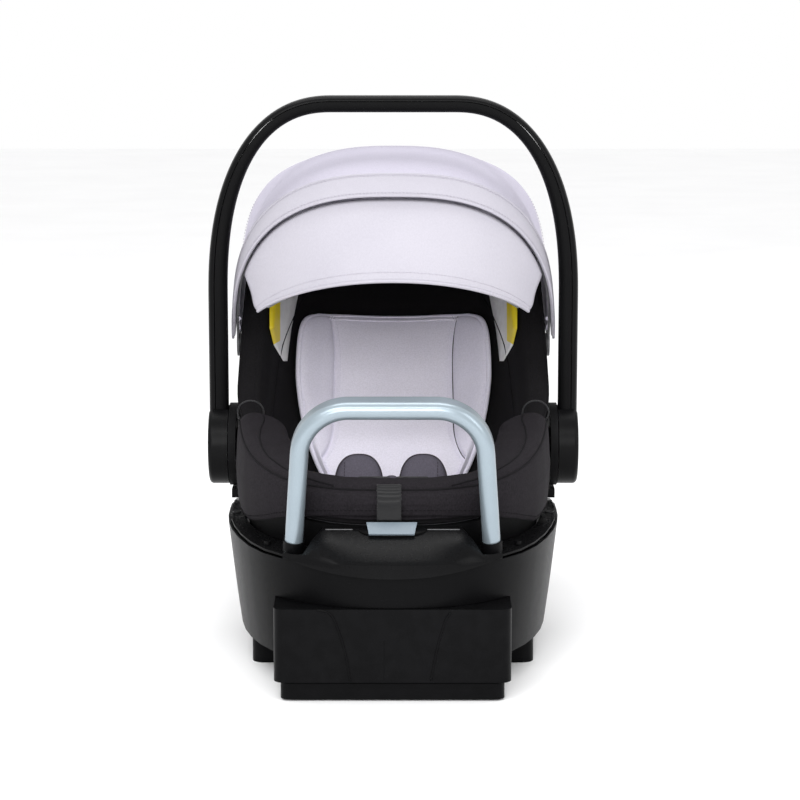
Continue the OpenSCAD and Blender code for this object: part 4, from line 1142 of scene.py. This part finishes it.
HANDLE_W, HANDLE_T, HANDLE_DEPTH, HANDLE_TOP = 222, 23, 33, 420
ARM_FOOT, ARM_STRAIGHT, HANDLE_FLAT = 20, 180, 72
HANDLE_SPLIT = 0.33
OUTER_CUTS = [HANDLE_SPLIT, 0.36, 0.45, 0.55, 0.65, 0.75, 0.83, 0.89, 0.94, 0.97, 0.99, 0.998]
INNER_CUTS = [HANDLE_SPLIT - 0.04, 0.27, 0.1, -0.1, -0.3, -0.5, -0.65, -0.75, -0.83, -0.89,
              -0.94, -0.97, -0.99, -0.998]


def handle_edge(t, w, top, n):
    if t < 0.35:
        return np.array([w, ARM_FOOT + (ARM_STRAIGHT - ARM_FOOT) * t / 0.35])
    if t < 0.85:
        a = math.radians(90 * (t - 0.35) / 0.5)
        return np.array([HANDLE_FLAT + (w - HANDLE_FLAT) * math.cos(a) ** (2 / n),
                         ARM_STRAIGHT + (top - ARM_STRAIGHT) * math.sin(a) ** (2 / n)])
    return np.array([HANDLE_FLAT * (1 - t) / 0.15, top])


def handle_ring(t, side, section):
    outer = handle_edge(t, HANDLE_W, HANDLE_TOP, 2.3)
    inner = handle_edge(t, HANDLE_W - HANDLE_T, HANDLE_TOP - HANDLE_T + 3, 2.4)
    middle, half = (outer + inner) / 2, (outer - inner) / 2
    ring = []
    for q, depth in section:
        x, z = middle + half * q
        ring.append([side * x, depth * HANDLE_DEPTH / 2 * (1 - abs(q) ** 3) ** (1 / 3), HUB_Z + z])
    return ring


def handle():
    """The two mouldings of the handle, with a step where they meet."""
    arm = np.linspace(0, 0.35, 16)[:-1]
    bend = 0.35 + 0.5 * ease(0, 1, np.linspace(0, 1, 60))
    stations = np.concatenate([arm, bend, [0.88, 0.92, 0.96]])
    for name, cut, look, inset in (("handle_outer", OUTER_CUTS, "handle", 0),
                                   ("handle_inner", INNER_CUTS, "grip", 0.035)):
        cut = np.array(cut)
        step = np.where(np.arange(len(cut)) == 0, 0.93, 1.0) - inset
        section = [(q, -k) for q, k in zip(cut, step)]
        section += [(q, k) for q, k in zip(cut[::-1], step[::-1])]
        rings = [handle_ring(t, 1, section) for t in stations] + [handle_ring(1, 1, section)]
        rings += [handle_ring(t, -1, section) for t in stations[::-1]]
        piece = lofted(f"{name}_moulding", rings, look)
        smooth(piece)
        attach(piece, "handle")
        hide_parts(name)


# ---------- fine details of the base ----------

CREST_Z, CREST_Y, BASE_TIP, BASE_TOP = 184, -290, -339, 158
COWL_LINE_Y, LEG_FACE_Y = -296.0, -345.6
LEG_RIBS = {
    "left": [(-82, 104.5), (-73, 103.5), (-64.6, 98), (-55, 71), (-49.5, 47), (-46.4, 25.5)],
    "right": [(63, 102), (57, 92.5), (50, 68), (45.5, 46), (41.9, 25.5)],
    "middle": [(-9.3, 71), (-9.3, 26)],
}


def crest_z(y):
    """Height of the cowl along its middle."""
    return BASE_TOP + (CREST_Z - BASE_TOP) * ease(BASE_TIP, CREST_Y, y)


def base_details():
    """Grooves round the lever, moulded ribs on the front leg and the line under the cowl, drawn pale
    as painted highlight on the edges of its slots.
    """
    a = np.linspace(0, math.pi, 40)
    y = -297 - 9 * np.sin(a)
    groove = tube("lever_groove", at(37 * np.cos(a), y, crest_z(y) + 0.1), 1.1, "groove")
    trims = [groove]
    # pale grey lines along the slots on the cowl's crest: their pale colour is painted highlight on
    # the slot edges
    for name, x0, x1 in (("left", -74, -44), ("right", 38, 74)):
        y = np.full(12, COWL_LINE_Y)
        line = at(np.linspace(x0, x1, 12), y, crest_z(y) + 0.1)
        trims.append(tube(f"cowl_slot_highlight_{name}", line, 0.6, "grey"))
    for name, places in LEG_RIBS.items():
        p = np.array(places, float)
        t = np.linspace(0, len(p) - 1, 40)
        x, z = (np.interp(t, range(len(p)), p[:, k]) for k in (0, 1))
        for _ in range(6):
            x[1:-1], z[1:-1] = (x[:-2] + x[1:-1] + x[2:]) / 3, (z[:-2] + z[1:-1] + z[2:]) / 3
        line = at(x, LEG_FACE_Y, z)
        trims.append(tube(f"leg_rib_{name}", line, 0.7 if name == "middle" else 1.5, "base"))
    for trim in trims:
        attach(trim, "base")


# ---------- run ----------

add_camera()
add_world()
add_light("key", (-1.2, -2.0, 2.4), (0, 0, 0.3), (1.4, 1.4), 22)
add_light("fill", (1.9, -1.4, 1.3), (0, 0, 0.3), (0.8, 1.6), 12)
add_light("top", (0, 0.4, 2.6), (0, 0, 0.3), (2.0, 1.0), 22)
add_light("front", (-0.2, -3.1, 1.25), (0, 0, 0.35), (1.6, 1.2), 40)
add_light("strip", (0, -2.3, 2.5), (0, -0.3, 0.2), (2.2, 0.25), 20)
dress_cad()
smooth_copies()
handle()
side_labels()
base_details()
seat_cover()
front_bolster()
head_insert()
harness_pads()
straps()
canopy()

FLOOR_HALF = 9  # metres: half the floor's side
floor_mesh = bpy.data.meshes.new("floor")
corners = [(x * FLOOR_HALF, y * FLOOR_HALF, 0) for x, y in ((-1, -1), (1, -1), (1, 1), (-1, 1))]
floor_mesh.from_pydata(corners, [], [(0, 1, 2, 3)])
floor = placed("floor", floor_mesh)
floor_look = Shader("floor_paint", 0.8)
shade = floor_look.noise(3, 2)
floor_look.colour(floor_look.ramp(shade, 0.3, 0.7, (0.93, 0.93, 0.935), (0.96, 0.96, 0.965)))
floor_look.bump((floor_look.noise(120, 2), 0.05, 0.001))
floor_mesh.materials.append(floor_look.material)
